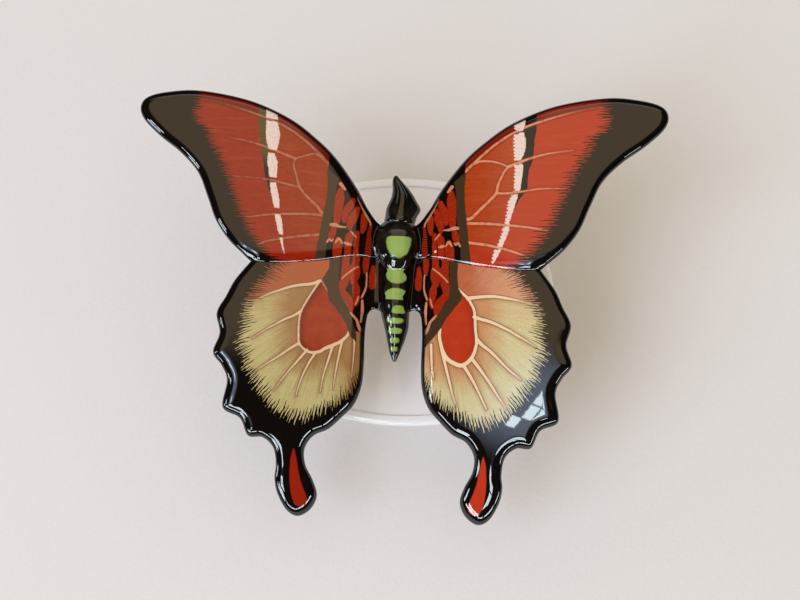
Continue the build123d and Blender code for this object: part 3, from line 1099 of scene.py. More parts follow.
@dataclass
class HindwingMarkings(Markings):
    """Markings of the right hindwing, whose strokes give reach, station and half width."""

    root_edge: float = 4.9
    centre: Pair = (14.0, -10.0)
    margin: Points = listed(
        (26.5, 1.5), (29, -1.4), (30.7, -2.6), (31.8, -5.1), (33.7, -6.7), (34.5, -8.7), (35.5, -10.1),
        (36, -12.3), (36.6, -14.7), (36.7, -17), (37, -19.4), (37.5, -21.3), (36.9, -23), (36.2, -24.9),
        (35.8, -26.6), (34.7, -29), (33.4, -31.5), (31.8, -33.9), (30.2, -35.7), (28.1, -37.7), (26, -38.7),
        (23.6, -39.8), (21.1, -39.6), (19.2, -38.8), (16.9, -37.9), (14.9, -36), (13.1, -35.4), (11.6, -34),
        (9.8, -32.3), (8.7, -30.6), (4, -27),
    )
    loop: Points = listed(
        (15.7, -6.2), (17.1, -7.4), (18.3, -8.5), (19.2, -9.9), (19.9, -11.3), (20.2, -13), (20.35, -15),
        (20.5, -16.7), (20.8, -18.4), (20.7, -20.1), (20.3, -21.8), (19.6, -23.2), (18.4, -24.4),
        (17, -24.9), (15.2, -24.3), (13.7, -23.3), (12.65, -21.7), (12, -19.8), (11.6, -17.8),
        (11.7, -16.1),
    )
    basal: Points = listed(
        (15.6, 3), (15.5, -2.7), (15.8, -5.9), (16.9, -7.6), (16.7, -8.9), (14.7, -11.5), (13, -13.8),
        (11.9, -16), (10.5, -17.9), (9.2, -19.3), (8.2, -20.6), (7, -21.5), (7.6, -18.3), (9.3, -15.2),
        (10.9, -13), (12.1, -10.8), (13.2, -9.2), (13.65, -7.9), (13.7, -6), (13.55, -4), (13.5, 0),
        (13.5, 3),
    )
    cells: list[Stroke] = listed(
        [(9.9, 1, 0.75), (10.2, -0.7, 1), (10.15, -2.2, 1.2), (10.2, -3.7, 1.15), (10.3, -5.2, 0.55)],
        [(12.3, 1, 0.82), (12.4, -2, 0.85), (12.4, -4.5, 0.9), (12.8, -6, 0.9), (13, -7.4, 0.65),
         (12.2, -8.7, 0.85), (11.3, -9.9, 1), (10.8, -11.2, 0.85), (10.6, -12.4, 0.4)],
        [(9.7, -5.5, 0.4), (9.6, -6.7, 0.8), (9.5, -8.2, 0.72), (9.3, -9.7, 0.5), (9.5, -10.7, 0.3)],
        [(7.45, 1.4, 0.6), (7.55, -0.9, 0.6), (7.5, -2.4, 0.35)],
        [(5.75, -1, 0.35), (5.7, -3.3, 0.8), (5.8, -5.8, 0.65)],
    )
    lenses: list[Stroke] = listed([(11, 1.3, 0.3), (11.15, 0, 0.4), (11.2, -1, 0.15)])
    stubs: list[Stroke] = listed(
        [(9.35, -1.2, 0.16), (10.65, -2.1, 0.2), (11.9, -3.2, 0.2), (13.2, -4.5, 0.15)],
        [(7.25, -2.6, 0.15), (7.2, -4.4, 0.18), (7.3, -6.4, 0.2), (7.9, -8.2, 0.25), (8.2, -8.9, 0.18)],
        [(8.95, -8.7, 0.17), (9.2, -9.7, 0.21), (9.6, -10.7, 0.16)],
        [(8, -9.65, 0.26), (7.9, -11.4, 0.34), (7.9, -13.4, 0.33), (8.1, -14.9, 0.25)],
        [(10.6, -12.9, 0.2), (9.9, -13.65, 0.3), (9.1, -14.6, 0.3), (8.7, -15.9, 0.35), (8.1, -17.1, 0.38)],
    )
    veins: Veins = listed(
        (0.45, [(18.3, -8.5), (20, -8.25), (22.5, -8), (24.9, -7.95), (27.3, -8.3), (29.7, -8.7),
                (33.3, -9.5), (35.5, -10.2)]),
        (0.42, [(20, -13), (21.9, -13.6), (23.9, -14.1), (26.3, -15.1), (28.8, -16.3), (30.7, -17.4),
                (32.9, -18.6), (35.1, -20)]),
        (0.45, [(20.8, -18.4), (22.2, -19.8), (24.1, -21.2), (26.6, -23.5), (28.6, -25.4), (31.8, -27.9)]),
        (0.43, [(19.8, -23.2), (21.4, -25.1), (23.4, -27.7), (24.9, -29.8), (26.4, -32), (28.7, -35.2)]),
        (0.43, [(17.9, -25), (19.2, -26.9), (20.5, -29), (21.8, -31.4), (23.7, -35.2)]),
        (0.4, [(12.3, -21.2), (13, -23.7), (13.8, -26.6), (14.7, -29.7), (15.5, -32.6), (16.3, -34.7)]),
        (0.35, [(9.6, -20), (9.8, -23), (10.05, -25.7), (10.5, -28.1)]),
    )
    loop_width: float = 0.31
    inner_warmth: float = 0.25
    drop: Points = listed((23.4, -47), (23.4, -50), (23.1, -54), (22.5, -57), (21.7, -59.6))
    drop_width: float = 1.95

    drop_start: float = 0.03
    drop_growth: float = 1.1
    drop_power: float = 0.75
    drop_full: float = 1.02
    drop_narrowing: float = 0.15
    hair_radius: float = 24.0
    wrap_angle: float = 1.2
    zone_end: Pair = (-17.0, -19.0)
    zone_close: float = 8.0
    loop_swell: Triple = (0.6, 0.72, 0.22)
    vein_fading: float = 0.7
    vein_span: Pair = (-7.0, 0.5)
    cell_edge_width: Pair = (2.2, 0.2)
    cell_edge_end: Pair = (0.62, 0.45)
    warm_start: float = 1.25
    warm_reach: float = 6.8
    warm_least: float = 0.12
    inner_span: Pair = (14.5, 9.0)
    top_warmth: float = 0.3
    top_span: Pair = (-18.0, -10.0)
    hot_span: Pair = (29.0, 15.5)
    upper_edge: Pair = (-0.2, 0.4)
    upper_across: Pair = (16.5, 13.5)
    upper_along: Pair = (-19.5, -15.5)

    def polar(self, plan: Array) -> tuple[Array, Array]:
        """Radius and angle of places about the hair centre."""
        away = plan - np.array(self.centre)
        return np.hypot(away[:, 0], away[:, 1]), np.arctan2(away[:, 1], away[:, 0])

    def fields(self, plan: Array) -> dict[str, Array]:
        """Every painted field of the hindwing.

        The fringe is the radius about the hair centre less the margin's radius in that direction. The
        cell is the distance to its closed loop, minus inside. The drop widens along its line by a power.

        Args:
            plan: Places on the plan.

        Returns:
            One number for each place, by the field's name.
        """
        u, v = plan[:, 0], plan[:, 1]
        radius, angle = self.polar(plan)
        edge_radius, edge_angle = self.polar(smooth_curve(self.margin))
        turned = np.where(angle > self.wrap_angle, angle - 2 * np.pi, angle)
        order = np.argsort(edge_angle)
        fringe = radius - np.interp(turned, edge_angle[order], edge_radius[order])
        loop = smooth_curve(self.loop)
        loop_gap, share = line_distance(plan, loop)
        inside = self.inside(plan, np.vstack([loop, loop[:1]]))
        swell, swell_at, swell_run = self.loop_swell
        loop_half = self.loop_width * (1.0 + swell * bell(share - swell_at, swell_run))
        veins = np.minimum(self.vein_field(plan, self.veins), loop_gap - loop_half)
        first = np.array(self.veins[0][1])
        over_first = v - np.interp(u, first[:, 0], first[:, 1])
        beside_root = smoothstep(*self.upper_across, u) * smoothstep(*self.upper_along, v)
        from_cell = np.where(inside, 0.0, loop_gap)
        warm = np.clip(self.warm_start - from_cell / self.warm_reach, self.warm_least, 1.0)
        gap, along = line_distance(plan, smooth_curve(self.drop))
        widening = np.clip(along * self.drop_growth + self.drop_start, 0, 1) ** self.drop_power
        return {
            "fringe": fringe,
            "hair": turned * self.hair_radius,
            "basal": self.patch(plan, self.basal),
            "zone": u - self.reach_of(self.basal[self.basal_inner:], v) - self.zone_lap
            + self.zone_close * smoothstep(*self.zone_end, v),
            "cells": self.strokes(plan, self.cells) - self.cell_swell,
            "stubs": self.strokes(plan, self.stubs),
            "root": self.root_field(plan),
            "vein": veins,
            "vein_fade": 1.0 - self.vein_fading * smoothstep(*self.vein_span, fringe),
            "cell": np.where(inside, -1.0, 1.0) * loop_gap,
            "cell_edge": smoothstep(*self.cell_edge_width, loop_gap) * smoothstep(*self.cell_edge_end, share),
            "warm": warm + self.inner_warmth * smoothstep(*self.inner_span, u)
            + self.top_warmth * smoothstep(*self.top_span, v),
            "hot": smoothstep(*self.hot_span, u),
            "upper": np.maximum(smoothstep(*self.upper_edge, over_first), beside_root),
            "lens": self.strokes(plan, self.lenses),
            "drop": gap - self.drop_width * widening * (self.drop_full - self.drop_narrowing * along),
        }


@dataclass
class LeftHindwingMarkings(HindwingMarkings):
    """Markings of the left hindwing, whose red cell is wider and shorter."""

    loop: Points = listed(
        (18.4, -5.4), (20, -8), (21.5, -10.8), (22.6, -13.1), (23, -15.4), (23, -18.3), (22.8, -20.8),
        (21.8, -22.2), (20.1, -23.1), (17.9, -22.9), (16.5, -22), (14.8, -21.2), (12.9, -20.2),
        (11.5, -18.9), (10.8, -17.4), (10.9, -15.2),
    )
    inner_warmth: float = 0.95
    basal: Points = listed(
        (16.3, 3), (16.3, 0.5), (16.4, -2), (17.9, -4.9), (16.6, -7.3), (16.1, -10), (14.5, -11.7),
        (12.7, -14), (11.6, -15.9), (10.8, -18.1), (10.1, -19.1), (9, -19.9), (9.1, -18), (10.2, -14.6),
        (11.1, -11.9), (12.6, -9.8), (13.7, -7.1), (13.9, -3.6), (13.9, -0.4), (13.9, 3),
    )
    veins: Veins = listed(
        (0.5, [(18.4, -5.4), (20.3, -6.2), (23.2, -6.7), (25.6, -7.3), (27.9, -8.2), (30.8, -9.4),
               (33.6, -11)]),
        (0.42, [(22.6, -13.1), (24.3, -14.3), (26.4, -15.3), (28.7, -16.7), (31.3, -18.3), (34.1, -20.4)]),
        (0.42, [(22.8, -21), (25.1, -22.6), (27.9, -24.7), (31, -26.8), (33.4, -28.6)]),
        (0.4, [(20.8, -22.6), (22.6, -24.9), (24.7, -27.5), (26.8, -30.3), (28.4, -32.8)]),
        (0.4, [(18.6, -23), (20, -25.3), (21.3, -28), (22.4, -31), (23.1, -33.8)]),
        (0.4, [(14.6, -21.1), (15.6, -24.8), (16.7, -28.8), (17.3, -32.7)]),
        (0.38, [(12.4, -19.9), (13.2, -24.2), (13.8, -28.4), (14.2, -32.1)]),
        (0.35, [(10.6, -17.9), (9.5, -19.8), (9.6, -24.5), (9.9, -29.4)]),
    )


@dataclass
class Wing:
    """One wing as a closed porcelain shell with rounded rims, ruled from a spine to its outline."""

    name: str
    outer: Array
    inner: Array
    spine: Array
    free: Array
    seat: float
    markings: dict[Side, ForewingMarkings | HindwingMarkings]
    ridge: Array | None = None
    reach_half: float = 1.9
    roll: float = 3.3
    ridge_roll: float = 5.0
    stations: int = 440
    inner_rings: int = 58
    under_rings: int = 14
    rim_rings: int = 9
    rim_reach: float = 1.5
    dihedral: float = 15.0
    camber: float = 320.0
    droop_radius: float = 185.0
    droop_start: float = 4.8
    root_thin: float = 0.4
    root_span: Pair = (5.0, 10.5)
    body_side: Points = listed(
        (-25, 0.3), (-23.4, 1.05), (-21.5, 1.6), (-19, 2.15), (-16, 2.8), (-13, 3.4), (-10, 3.85),
        (-7, 4.15), (-4, 4.3), (0.2, 4.4), (1.6, 4.9), (2.8, 5.7), (4, 6.15), (6, 6.1), (7.6, 5.75),
        (9, 5.2), (10.2, 4.45), (11, 3.7), (12, 3.7),
    )
    body_sink: float = 0.14
    fillet: float = 2.6
    fillet_rise: float = 0.6
    side_fall: float = 3.0
    rim_share: float = 0.45
    roll_power: float = 2.3
    least: float = 0.05
    fine_steps: int = 4000
    spine_steps: int = 400
    left_shift: float = 100.0

    def crown(self, u: Array, v: Array) -> Array:
        """Middle surface: a rising straight line less a round camber, less a round droop to the tail."""
        drop = np.clip(-self.droop_start - v, 0, None) ** 2 / (2 * self.droop_radius)
        return self.seat + u * math.tan(math.radians(self.dihedral)) - u**2 / (2 * self.camber) - drop

    def upper(self, u: Array, v: Array, half: Array) -> Array:
        """Top surface: the middle plus the half thickness, run up to the body by a fillet.

        The body is a round form of its own side's radius, sunk a little. The larger of the two heights is
        taken, plus a quarter of the fillet times the square of how far their gap falls short of it.

        Args:
            u: Reach of the places.
            v: Stations of the places.
            half: Half thickness there.

        Returns:
            Heights over the perch plane.
        """
        thin = self.root_thin + (1 - self.root_thin) * smoothstep(*self.root_span, u)
        top = self.crown(u, v) + half * thin
        side = np.interp(v, *np.array(self.body_side).T)
        share = u / np.maximum(side, 0.1)
        past = self.side_fall * np.clip(u - side, 0, None)
        body = side * np.sqrt(np.clip(1 - share**2, 0, 1)) - self.body_sink - past
        near = np.clip(1 - np.abs(top - body) / self.fillet, 0, 1) * smoothstep(0.0, self.fillet_rise, half)
        return np.maximum(top, body) + near**2 * self.fillet / 4

    def stations_on(self, edge: Array) -> Array:
        """Share along the spine for each sample of an edge: half its nearest place, half its arc length.

        Args:
            edge: Samples of the edge.

        Returns:
            Shares from 0 to 1 that never fall.
        """
        share = np.maximum.accumulate(line_distance(edge, self.spine)[1])
        arc = arc_length(edge)
        return 0.5 * (share - share[0]) / (share[-1] - share[0]) + 0.5 * arc / arc[-1]

    def plan_lines(self) -> tuple[Array, Array]:
        """Outline of the wing and its spine, with a place on the spine for each station of the outline.

        Returns:
            Places round the outline, and places along the spine.
        """
        edges = (self.outer, self.inner)
        shares = [self.stations_on(edge) for edge in edges]
        arcs = [arc_length(edge) for edge in edges]
        fine = np.linspace(0, 1, self.fine_steps)
        total = sum(np.interp(fine, share, arc) for share, arc in zip(shares, arcs))
        station = np.interp(np.linspace(0, total[-1], self.stations + 1), total, fine)
        sides = [
            np.stack([np.interp(np.interp(station, share, arc), arc, edge[:, k]) for k in (0, 1)], axis=1)
            for share, arc, edge in zip(shares, arcs, edges)
        ]
        spine = even_steps(self.spine, self.spine_steps)
        along = np.linspace(0, 1, self.spine_steps)
        middle = np.stack([np.interp(station, along, spine[:, k]) for k in (0, 1)], axis=1)
        return np.vstack([sides[0], sides[1][-2:0:-1]]), middle

    def plan_rings(self, loop: Array, middle: Array, inner: int) -> Array:
        """Plan of the rings, from the outline towards the spine.

        Each place on the outline is joined to its place on the spine by a straight line. The rings next to
        the outline stand at a fixed reach times one less the cosine of an even angle, and the rest divide
        what is left of the line evenly.

        Args:
            loop: Places round the outline.
            middle: Places along the spine.
            inner: How many rings divide the rest of each line, the spine among them.

        Returns:
            The rings without the spine, as ring, place round the outline, and u or v.
        """
        away = np.vstack([middle, middle[-2:0:-1]]) - loop
        length = np.linalg.norm(away, axis=1, keepdims=True)
        near = np.minimum(self.rim_reach, length * self.rim_share)
        turn = np.linspace(0, np.pi / 2, self.rim_rings)[:, None, None]
        rest = np.linspace(0, 1, inner + 1)[1:-1, None, None]
        walk = np.concatenate([near[None] * (1 - np.cos(turn)), near[None] + rest * (length - near)[None]])
        return loop[None] + away[None] * (walk / np.maximum(length, 1e-9)[None])

    def step(self, gap: Array, roll: float) -> Array:
        """Rounded step of a distance: one less the share left to the roll's reach, by the roll's power."""
        left = 1 - np.clip(gap / roll, 0, 1)
        return (1 - left**self.roll_power) ** (1 / self.roll_power)

    def thickness(self, plan: Array) -> tuple[Array, Array]:
        """Share of the half thickness over the plan: the steps of the free edge and the ridge multiply.

        Args:
            plan: Places on the plan.

        Returns:
            The share of the full half thickness, and the distance to the free edge.
        """
        gap = line_distance(plan, self.free)[0]
        share = self.step(gap, self.roll)
        if self.ridge is not None:
            share = share * self.step(line_distance(plan, self.ridge)[0], self.ridge_roll)
        return share, gap

    def build(self, material: Material) -> None:
        """Make the shell of each side, paint its fields and dress it.

        The lower surface is the middle surface less the half thickness.

        Args:
            material: Finish of the wing.
        """
        loop, middle = self.plan_lines()
        rings = [self.plan_rings(loop, middle, inner) for inner in (self.inner_rings, self.under_rings)]
        count = len(loop)
        plan = np.vstack([rings[0].reshape(-1, 2), middle, rings[1][1:].reshape(-1, 2), middle])
        first_under = rings[0].shape[0] * count + len(middle)
        under = np.arange(len(plan)) >= first_under
        share, gap = self.thickness(plan)
        share[:count] = 0.0
        gap[:count] = np.where(gap[:count] < self.least, 0.0, gap[:count])
        half = self.reach_half * share
        upper = self.upper(plan[:, 0], plan[:, 1], half)
        lower = np.minimum(self.crown(plan[:, 0], plan[:, 1]) - half, upper - self.least)
        height = np.where(under, lower, upper)
        faces = self.faces(count, [len(r) for r in rings], len(middle), first_under)
        shared = {"rim": gap, "under": under * 1.0, "station": plan[:, 1]}
        for side in Side:
            points = PERCH.place(side.value * plan[:, 0], plan[:, 1], height)
            name = f"{side.name.lower()}_{self.name}"
            outward = faces if side is Side.RIGHT else self.clean(faces[:, ::-1])
            painted = self.markings[side].fields(plan) | shared
            painted["reach"] = plan[:, 0] + self.left_shift * (side is Side.LEFT)
            # 1 on the right wings, whose lighter tones are partly paler paint and partly painted light.
            painted["pale"] = np.full(len(plan), float(side is Side.RIGHT))
            Piece(f"{name}_glazed", points, outward, painted).dress(material, name)

    def faces(self, count: int, layers: list[int], stations: int, first_under: int) -> Array:
        """Corner numbers of the shell: on each side quads from ring to ring and on to the spine.

        Args:
            count: Places round the outline.
            layers: Rings of the upper and the lower side, the outline included and the spine left out.
            stations: Points on the spine, which both ways round share.
            first_under: Number of the first point of the lower side alone.

        Returns:
            Quads of the upper side, then of the lower side, which share the outline.
        """
        here = np.arange(count)
        ahead = np.roll(here, -1)
        spine = np.where(here < stations, here, 2 * (stations - 1) - here)
        sides = []
        for rest, rings in zip((count, first_under), layers):
            starts = [rest + k * count for k in range(rings)]
            lines = [here, *(here + start for start in starts[:-1]), spine + starts[-1]]
            sides += [[np.stack([a, a[ahead], b[ahead], b], axis=1) for a, b in zip(lines, lines[1:])]]
        return self.clean(np.vstack([*sides[0], *(quads[:, ::-1] for quads in sides[1])]))

    def clean(self, faces: Array) -> Array:
        """Turn quads with a doubled corner into triangles with the repeat last, and drop the empty ones.

        Args:
            faces: Corner numbers of the quads.

        Returns:
            Corner numbers of what is left.
        """
        out = faces.copy()
        for shift in range(faces.shape[1]):
            rolled = np.roll(faces, -shift, axis=1)
            doubled = rolled[:, 2] == rolled[:, 3]
            out[doubled] = rolled[doubled]
        distinct = (out[:, 0] != out[:, 1]) & (out[:, 1] != out[:, 2]) & (out[:, 0] != out[:, 2])
        return out[distinct]


@dataclass
class Wings:
    """Both pairs of wings, from the outline of one side."""

    reach: float = 65.0
    forewing_length: float = 41.1
    hindwing_spread: float = 43.8
    tail_reach: float = 63.8
    seat: float = 1.0
    seam_step: float = 1.1
    under_lap: float = 1.4
    lap_end: float = 33.0
    root_end: float = 4.4
    arch_end: float = 2.4
    waist_end: float = -18.0
    fore_foot: float = 5.0
    fore_foot_samples: tuple[int, int] = (12, 8)
    hind_foot: Pair = (2.0, -5.0)
    hind_foot_ends: Pair = (-2.0, -8.0)
    hind_samples: tuple[int, int] = (900, 700)
    forewing_shares: Points = listed(
        (0.03, 0.248), (0.072, 0.243), (0.118, 0.331), (0.166, 0.462), (0.246, 0.63), (0.326, 0.747),
        (0.431, 0.861), (0.585, 0.956), (0.769, 1), (0.892, 0.985), (0.974, 0.946), (1, 0.881),
        (0.982, 0.803), (0.915, 0.703), (0.838, 0.613), (0.766, 0.494), (0.722, 0.341), (0.686, 0.204),
        (0.634, 0.09), (0.577, 0.007), (0.551, -0.029),
    )
    forewing_tip: int = 11
    ridge_shares: Points = listed(
        (0.551, -0.029), (0.508, -0.046), (0.415, -0.041), (0.292, -0.017), (0.185, 0.017), (0.092, 0.034),
        (0.03, 0.034),
    )
    hindwing_shares: Points = listed(
        (0.817, -0.019), (0.897, -0.094), (0.943, -0.16), (0.989, -0.227), (0.968, -0.303),
        (1, -0.378), (0.948, -0.43), (0.918, -0.486), (0.938, -0.588), (0.842, -0.627),
        (0.795, -0.693), (0.715, -0.697), (0.655, -0.735), (0.639, -0.799), (0.646, -0.854),
        (0.63, -0.912), (0.58, -0.976), (0.516, -1), (0.445, -0.972), (0.409, -0.917),
        (0.432, -0.857), (0.475, -0.796), (0.48, -0.734), (0.432, -0.683), (0.352, -0.655),
        (0.279, -0.608), (0.212, -0.556), (0.174, -0.486), (0.163, -0.4), (0.164, -0.3),
        (0.16, -0.238), (0.15, -0.199), (0.132, -0.183), (0.112, -0.179), (0.091, -0.183),
        (0.072, -0.192), (0.052, -0.203), (0.032, -0.208),
    )
    hindwing_tip: int = 17
    curve_steps: int = 24
    fore_spine: Points = listed(
        (5, 5), (14, 9.5), (25, 16), (36, 23.5), (46, 30.5), (54, 34.6), (60.5, 36.4),
    )
    hind_spine: Points = listed(
        (5, -5), (12, -8.5), (19, -17), (22.5, -29), (23.8, -40), (24.6, -48), (23.6, -55), (22.6, -60),
    )

    def scaled(self, shares: Points, across: float, along: float) -> Array:
        """Smooth curve through points given as shares of two sizes."""
        return smooth_curve([(a * across, b * along) for a, b in shares], self.curve_steps)

    def split(self, line: Array, tip: int) -> tuple[Array, Array]:
        """The two parts of a curve, which share the point of the given number."""
        at = tip * self.curve_steps
        return line[:at + 1], line[at:]

    def forewing(self) -> Wing:
        """The forewing: leading edge to the tip, then the hollow outer margin and the ridge to the root.

        Returns:
            The wing, ready to build.
        """
        edge = self.scaled(self.forewing_shares, self.reach, self.forewing_length)
        lead, trail = self.split(edge, self.forewing_tip)
        ridge = self.scaled(self.ridge_shares, self.reach, self.forewing_length)
        inner = np.vstack([trail[:-1], ridge])[::-1]
        foot = np.array([[inner[0, 0], self.fore_foot]])
        outer, inner = (
            np.vstack([foot, even_steps(np.vstack([foot, side[:1]]), count)[1:-1], side])
            for side, count in zip((lead, inner), self.fore_foot_samples)
        )
        free = edge[edge[:, 0] > self.root_end]
        marked = {Side.RIGHT: ForewingMarkings(), Side.LEFT: LeftForewingMarkings()}
        spine = smooth_curve(self.fore_spine)
        return Wing("forewing", outer, inner, spine, free, self.seat, marked, ridge=ridge)

    def hindwing(self) -> Wing:
        """The hindwing: under the ridge to the notch, over the scallops to the tail, then up the inside.

        Returns:
            The wing, ready to build.
        """
        edge = self.scaled(self.hindwing_shares, self.hindwing_spread, self.tail_reach)
        scallops, inner = self.split(edge, self.hindwing_tip)
        ridge = self.scaled(self.ridge_shares, self.reach, self.forewing_length)[::-1]
        under = ridge[ridge[:, 0] < self.lap_end] + np.array([0.0, self.under_lap])
        foot, top, low = ([[self.hind_foot[0], v]] for v in (self.hind_foot[1], *self.hind_foot_ends))
        outer = even_steps(np.vstack([foot, top, under, scallops]), self.hind_samples[0])
        inner = even_steps(np.vstack([foot, low, inner[::-1]]), self.hind_samples[1])
        free = edge[(edge[:, 0] > self.arch_end) | (edge[:, 1] < self.waist_end)]
        marked = {Side.RIGHT: HindwingMarkings(), Side.LEFT: LeftHindwingMarkings()}
        seat = self.seat - self.seam_step
        return Wing("hindwing", outer, inner, smooth_curve(self.hind_spine), free, seat, marked)

    def build(self) -> None:
        """Make all four wings."""
        self.forewing().build(ForewingGlaze().build())
        self.hindwing().build(HindwingGlaze().build())


@dataclass(frozen=True)
class Swell:
    """A swelling of the head, by its height, its station, its length and its spread round the head."""

    height: float
    station: float
    length: float
    spread: float = 0.0

    def along(self, station: Array) -> Array:
        """Height at each station: a bell about its own station."""
        return self.height * bell(station - self.station, self.length)


@dataclass
class Body:
    """Thorax, abdomen and head as smooth glazed forms."""

    around: int = 128
    slot: str = "body_glaze"
    thorax_rings: Points = listed(
        (11.3, 0), (11.3, 2.4), (11, 3.5), (10.2, 4.45), (9, 5.2), (7.6, 5.75), (6, 6.1),
        (4, 6.2), (2.7, 6.1), (1.6, 5.93), (0.6, 5.6), (-0.3, 5.22), (-1, 4.9), (-1.6, 4.55),
        (-1.95, 4.2), (-1.8, 3.8), (-1.3, 0),
    )
    abdomen_rings: Rings = listed(
        (3.2, 0), (3.2, 3.9), (1.2, 4.25), (-0.9, 4.35), (-4, 4.3), (-7, 4.15), (-10, 3.85),
        (-12.5, 3.55, 0.1, 0), (-15, 3.2, 0.45, 0), (-17, 2.75, 0.58, 0),
        (-19, 2.25, 0.55, 0), (-21, 1.65, 0.45, 0), (-22.6, 1.1, 0.4, 0), (-23.7, 0.65, 0.4, 0),
        (-24.2, 0.35, 0.4, 0), (-24.4, 0, 0.4, 0),
    )
    head_rings: Rings = listed(
        (9.6, 0, 0.2, 0), (9.6, 2.6, 0.2, 0), (10, 3.6, 0.2, 0), (11.3, 3.95, 0.25, 0),
        (12.6, 3.88, 0.4, 0), (13.8, 3.8, 0.58, 0), (15, 3.68, 0.75, 0.1), (16.2, 3.42, 0.85, 0.25),
        (17.6, 2.9, 0.78, 0.45), (19.2, 2.2, 0.3, 0.8), (20.6, 1.58, -0.4, 1.2), (21.6, 1.05, -0.85, 1.5),
        (22.3, 0.6, -1.05, 1.62), (22.65, 0.28, -1.08, 1.65), (22.75, 0, -1.08, 1.65),
    )
    thorax_samples: int = 150
    abdomen_samples: int = 190
    head_samples: int = 130
    least_radius: float = 0.02
    right_eye: Swell = Swell(0.95, 14.3, 1.6, 0.34)
    left_eye: Swell = Swell(0.25, 14.3, 1.6, 0.34)
    crest: Swell = Swell(0.4, 17.4, 3.6, 0.06)
    hollow: Swell = Swell(-0.25, 14.8, 2.4, 0.3)
    hollow_side: float = 0.62
    hollow_rise: float = 0.5
    collar: Swell = Swell(0.35, 11.0, 0.7)
    collar_rise: float = 0.8
    segment_swell: float = 0.025
    segment_length: float = 3.1
    segment_shift: float = 0.6
    segment_span: Pair = (-0.3, 0.5)
    under_push: float = 5.0
    under_span: Pair = (0.25, -0.1)
    squareness: float = 0.86
    flatness: float = 0.97
    lip_reach: float = 3.2
    lip_stations: Pair = (4.5, -0.5)
    patches: Rings = listed(
        (6.5, 5.4, 1.1, 0.65, 3.05, 4.5, 2), (-1.4, -2.7, -5.1, 0.45, 2.7, 6, 2.1),
        (-6.25, -8.2, -9.1, 0.4, 2.95, 2.2, 4.5), (-10.5, -11.8, -12.5, 1.1, 1.6, 2.2, 4),
        (-13.65, -14.4, -15, 0.4, 2, 3.5, 2.4), (-16.1, -16.8, -17.5, 0.4, 1.65, 3.5, 2.6),
        (-18.5, -19.1, -19.8, 0.35, 1.15, 4, 3), (-20.7, -21.2, -21.8, 0.3, 0.8, 3.5, 3),
    )

    def patch_field(self, u: Array, v: Array, up: Array) -> Array:
        """Signed size to the green patches on the upper half, each a rounded form of two half ellipses.

        Front and rear of each patch are superellipses that share the widest line: the reach over the half
        width and the distance over the length, each raised to the half's own power, sum to one on its edge.

        Args:
            u: Places across the body.
            v: Places along the body.
            up: Upward part of the outward direction.

        Returns:
            About millimetres, under zero inside a patch.
        """
        gaps = []
        for front, widest, rear, across, half, front_power, rear_power in self.patches:
            ahead = v > widest
            length = np.where(ahead, front - widest, widest - rear)
            power = np.where(ahead, front_power, rear_power)
            sum_of_powers = np.abs((u - across) / half) ** power + np.abs((v - widest) / length) ** power
            gaps.append((sum_of_powers ** (1 / power) - 1) * np.minimum(half, front - rear) / 2)
        return np.minimum.reduce(gaps) + self.under_push * smoothstep(*self.under_span, up)

    def turned(self, name: str, node: str, profile: Array, material: Material, square: float = 1.0,
               offset: Callable[[Array, Array], Array] | None = None,
               slide: Callable[[Array, Array], Array] | None = None) -> Thing:
        """A round form: a profile of stations and radii carried round a superellipse about the body's axis.

        Args:
            name: Piece name.
            node: CAD node that it replaces.
            profile: Rows of station, radius, shift across and rise.
            material: Finish.
            square: Power of the cosine and the sine, one for a circle and less for a fuller section.
            offset: Extra radius as a function of station and angle.
            slide: Extra station as a function of station and angle.

        Returns:
            The piece's object.
        """
        turn = np.linspace(0, 2 * np.pi, self.around, endpoint=False)
        station, angle = np.meshgrid(profile[1:-1, 0], turn, indexing="ij")
        radius, across, rise = (profile[1:-1, k:k + 1] + 0 * angle for k in (1, 2, 3))
        if offset is not None:
            radius = radius + offset(station, angle)
        if slide is not None:
            station = station + slide(station, angle)
        u = across + radius * np.sign(np.cos(angle)) * np.abs(np.cos(angle)) ** square
        w = rise + radius * self.flatness * np.sign(np.sin(angle)) * np.abs(np.sin(angle)) ** square
        poles = profile[[0, -1]]
        flat = [np.r_[x.ravel(), p] for x, p in ((u, poles[:, 2]), (station, poles[:, 0]), (w, poles[:, 3]))]
        points = PERCH.place(*flat)
        rows, cols = u.shape
        rings = np.arange(rows * cols).reshape(rows, cols)
        ahead = np.roll(np.arange(cols), -1)
        quads = [np.stack([a, b, b[ahead], a[ahead]], axis=1) for a, b in zip(rings, rings[1:])]
        front, rear = rings[0], rings[-1]
        first, last = np.full(cols, rows * cols), np.full(cols, rows * cols + 1)
        caps = [np.stack([front, front[ahead], first, first], axis=1),
                np.stack([rear[ahead], rear, last, last], axis=1)]
        up = np.r_[np.sin(angle).ravel(), 0.0, 0.0]
        fields = {"patch": self.patch_field(flat[0], flat[1], up)}
        return Piece(name, points, np.vstack(quads + caps), fields).dress(material, node)

    def profile(self, rings: Rings, count: int) -> Array:
        """Evenly spaced samples of a smooth profile, with no shift and no rise where a ring gives none.

        Args:
            rings: Station, radius, shift across and rise of each ring, the last two only where it has them.
            count: How many samples.

        Returns:
            One row of four numbers for each sample.
        """
        made = even_steps(smooth_curve([(*ring, 0.0, 0.0)[:4] for ring in rings]), count)
        made[:, 1] = np.clip(made[:, 1], self.least_radius, None)
        return made

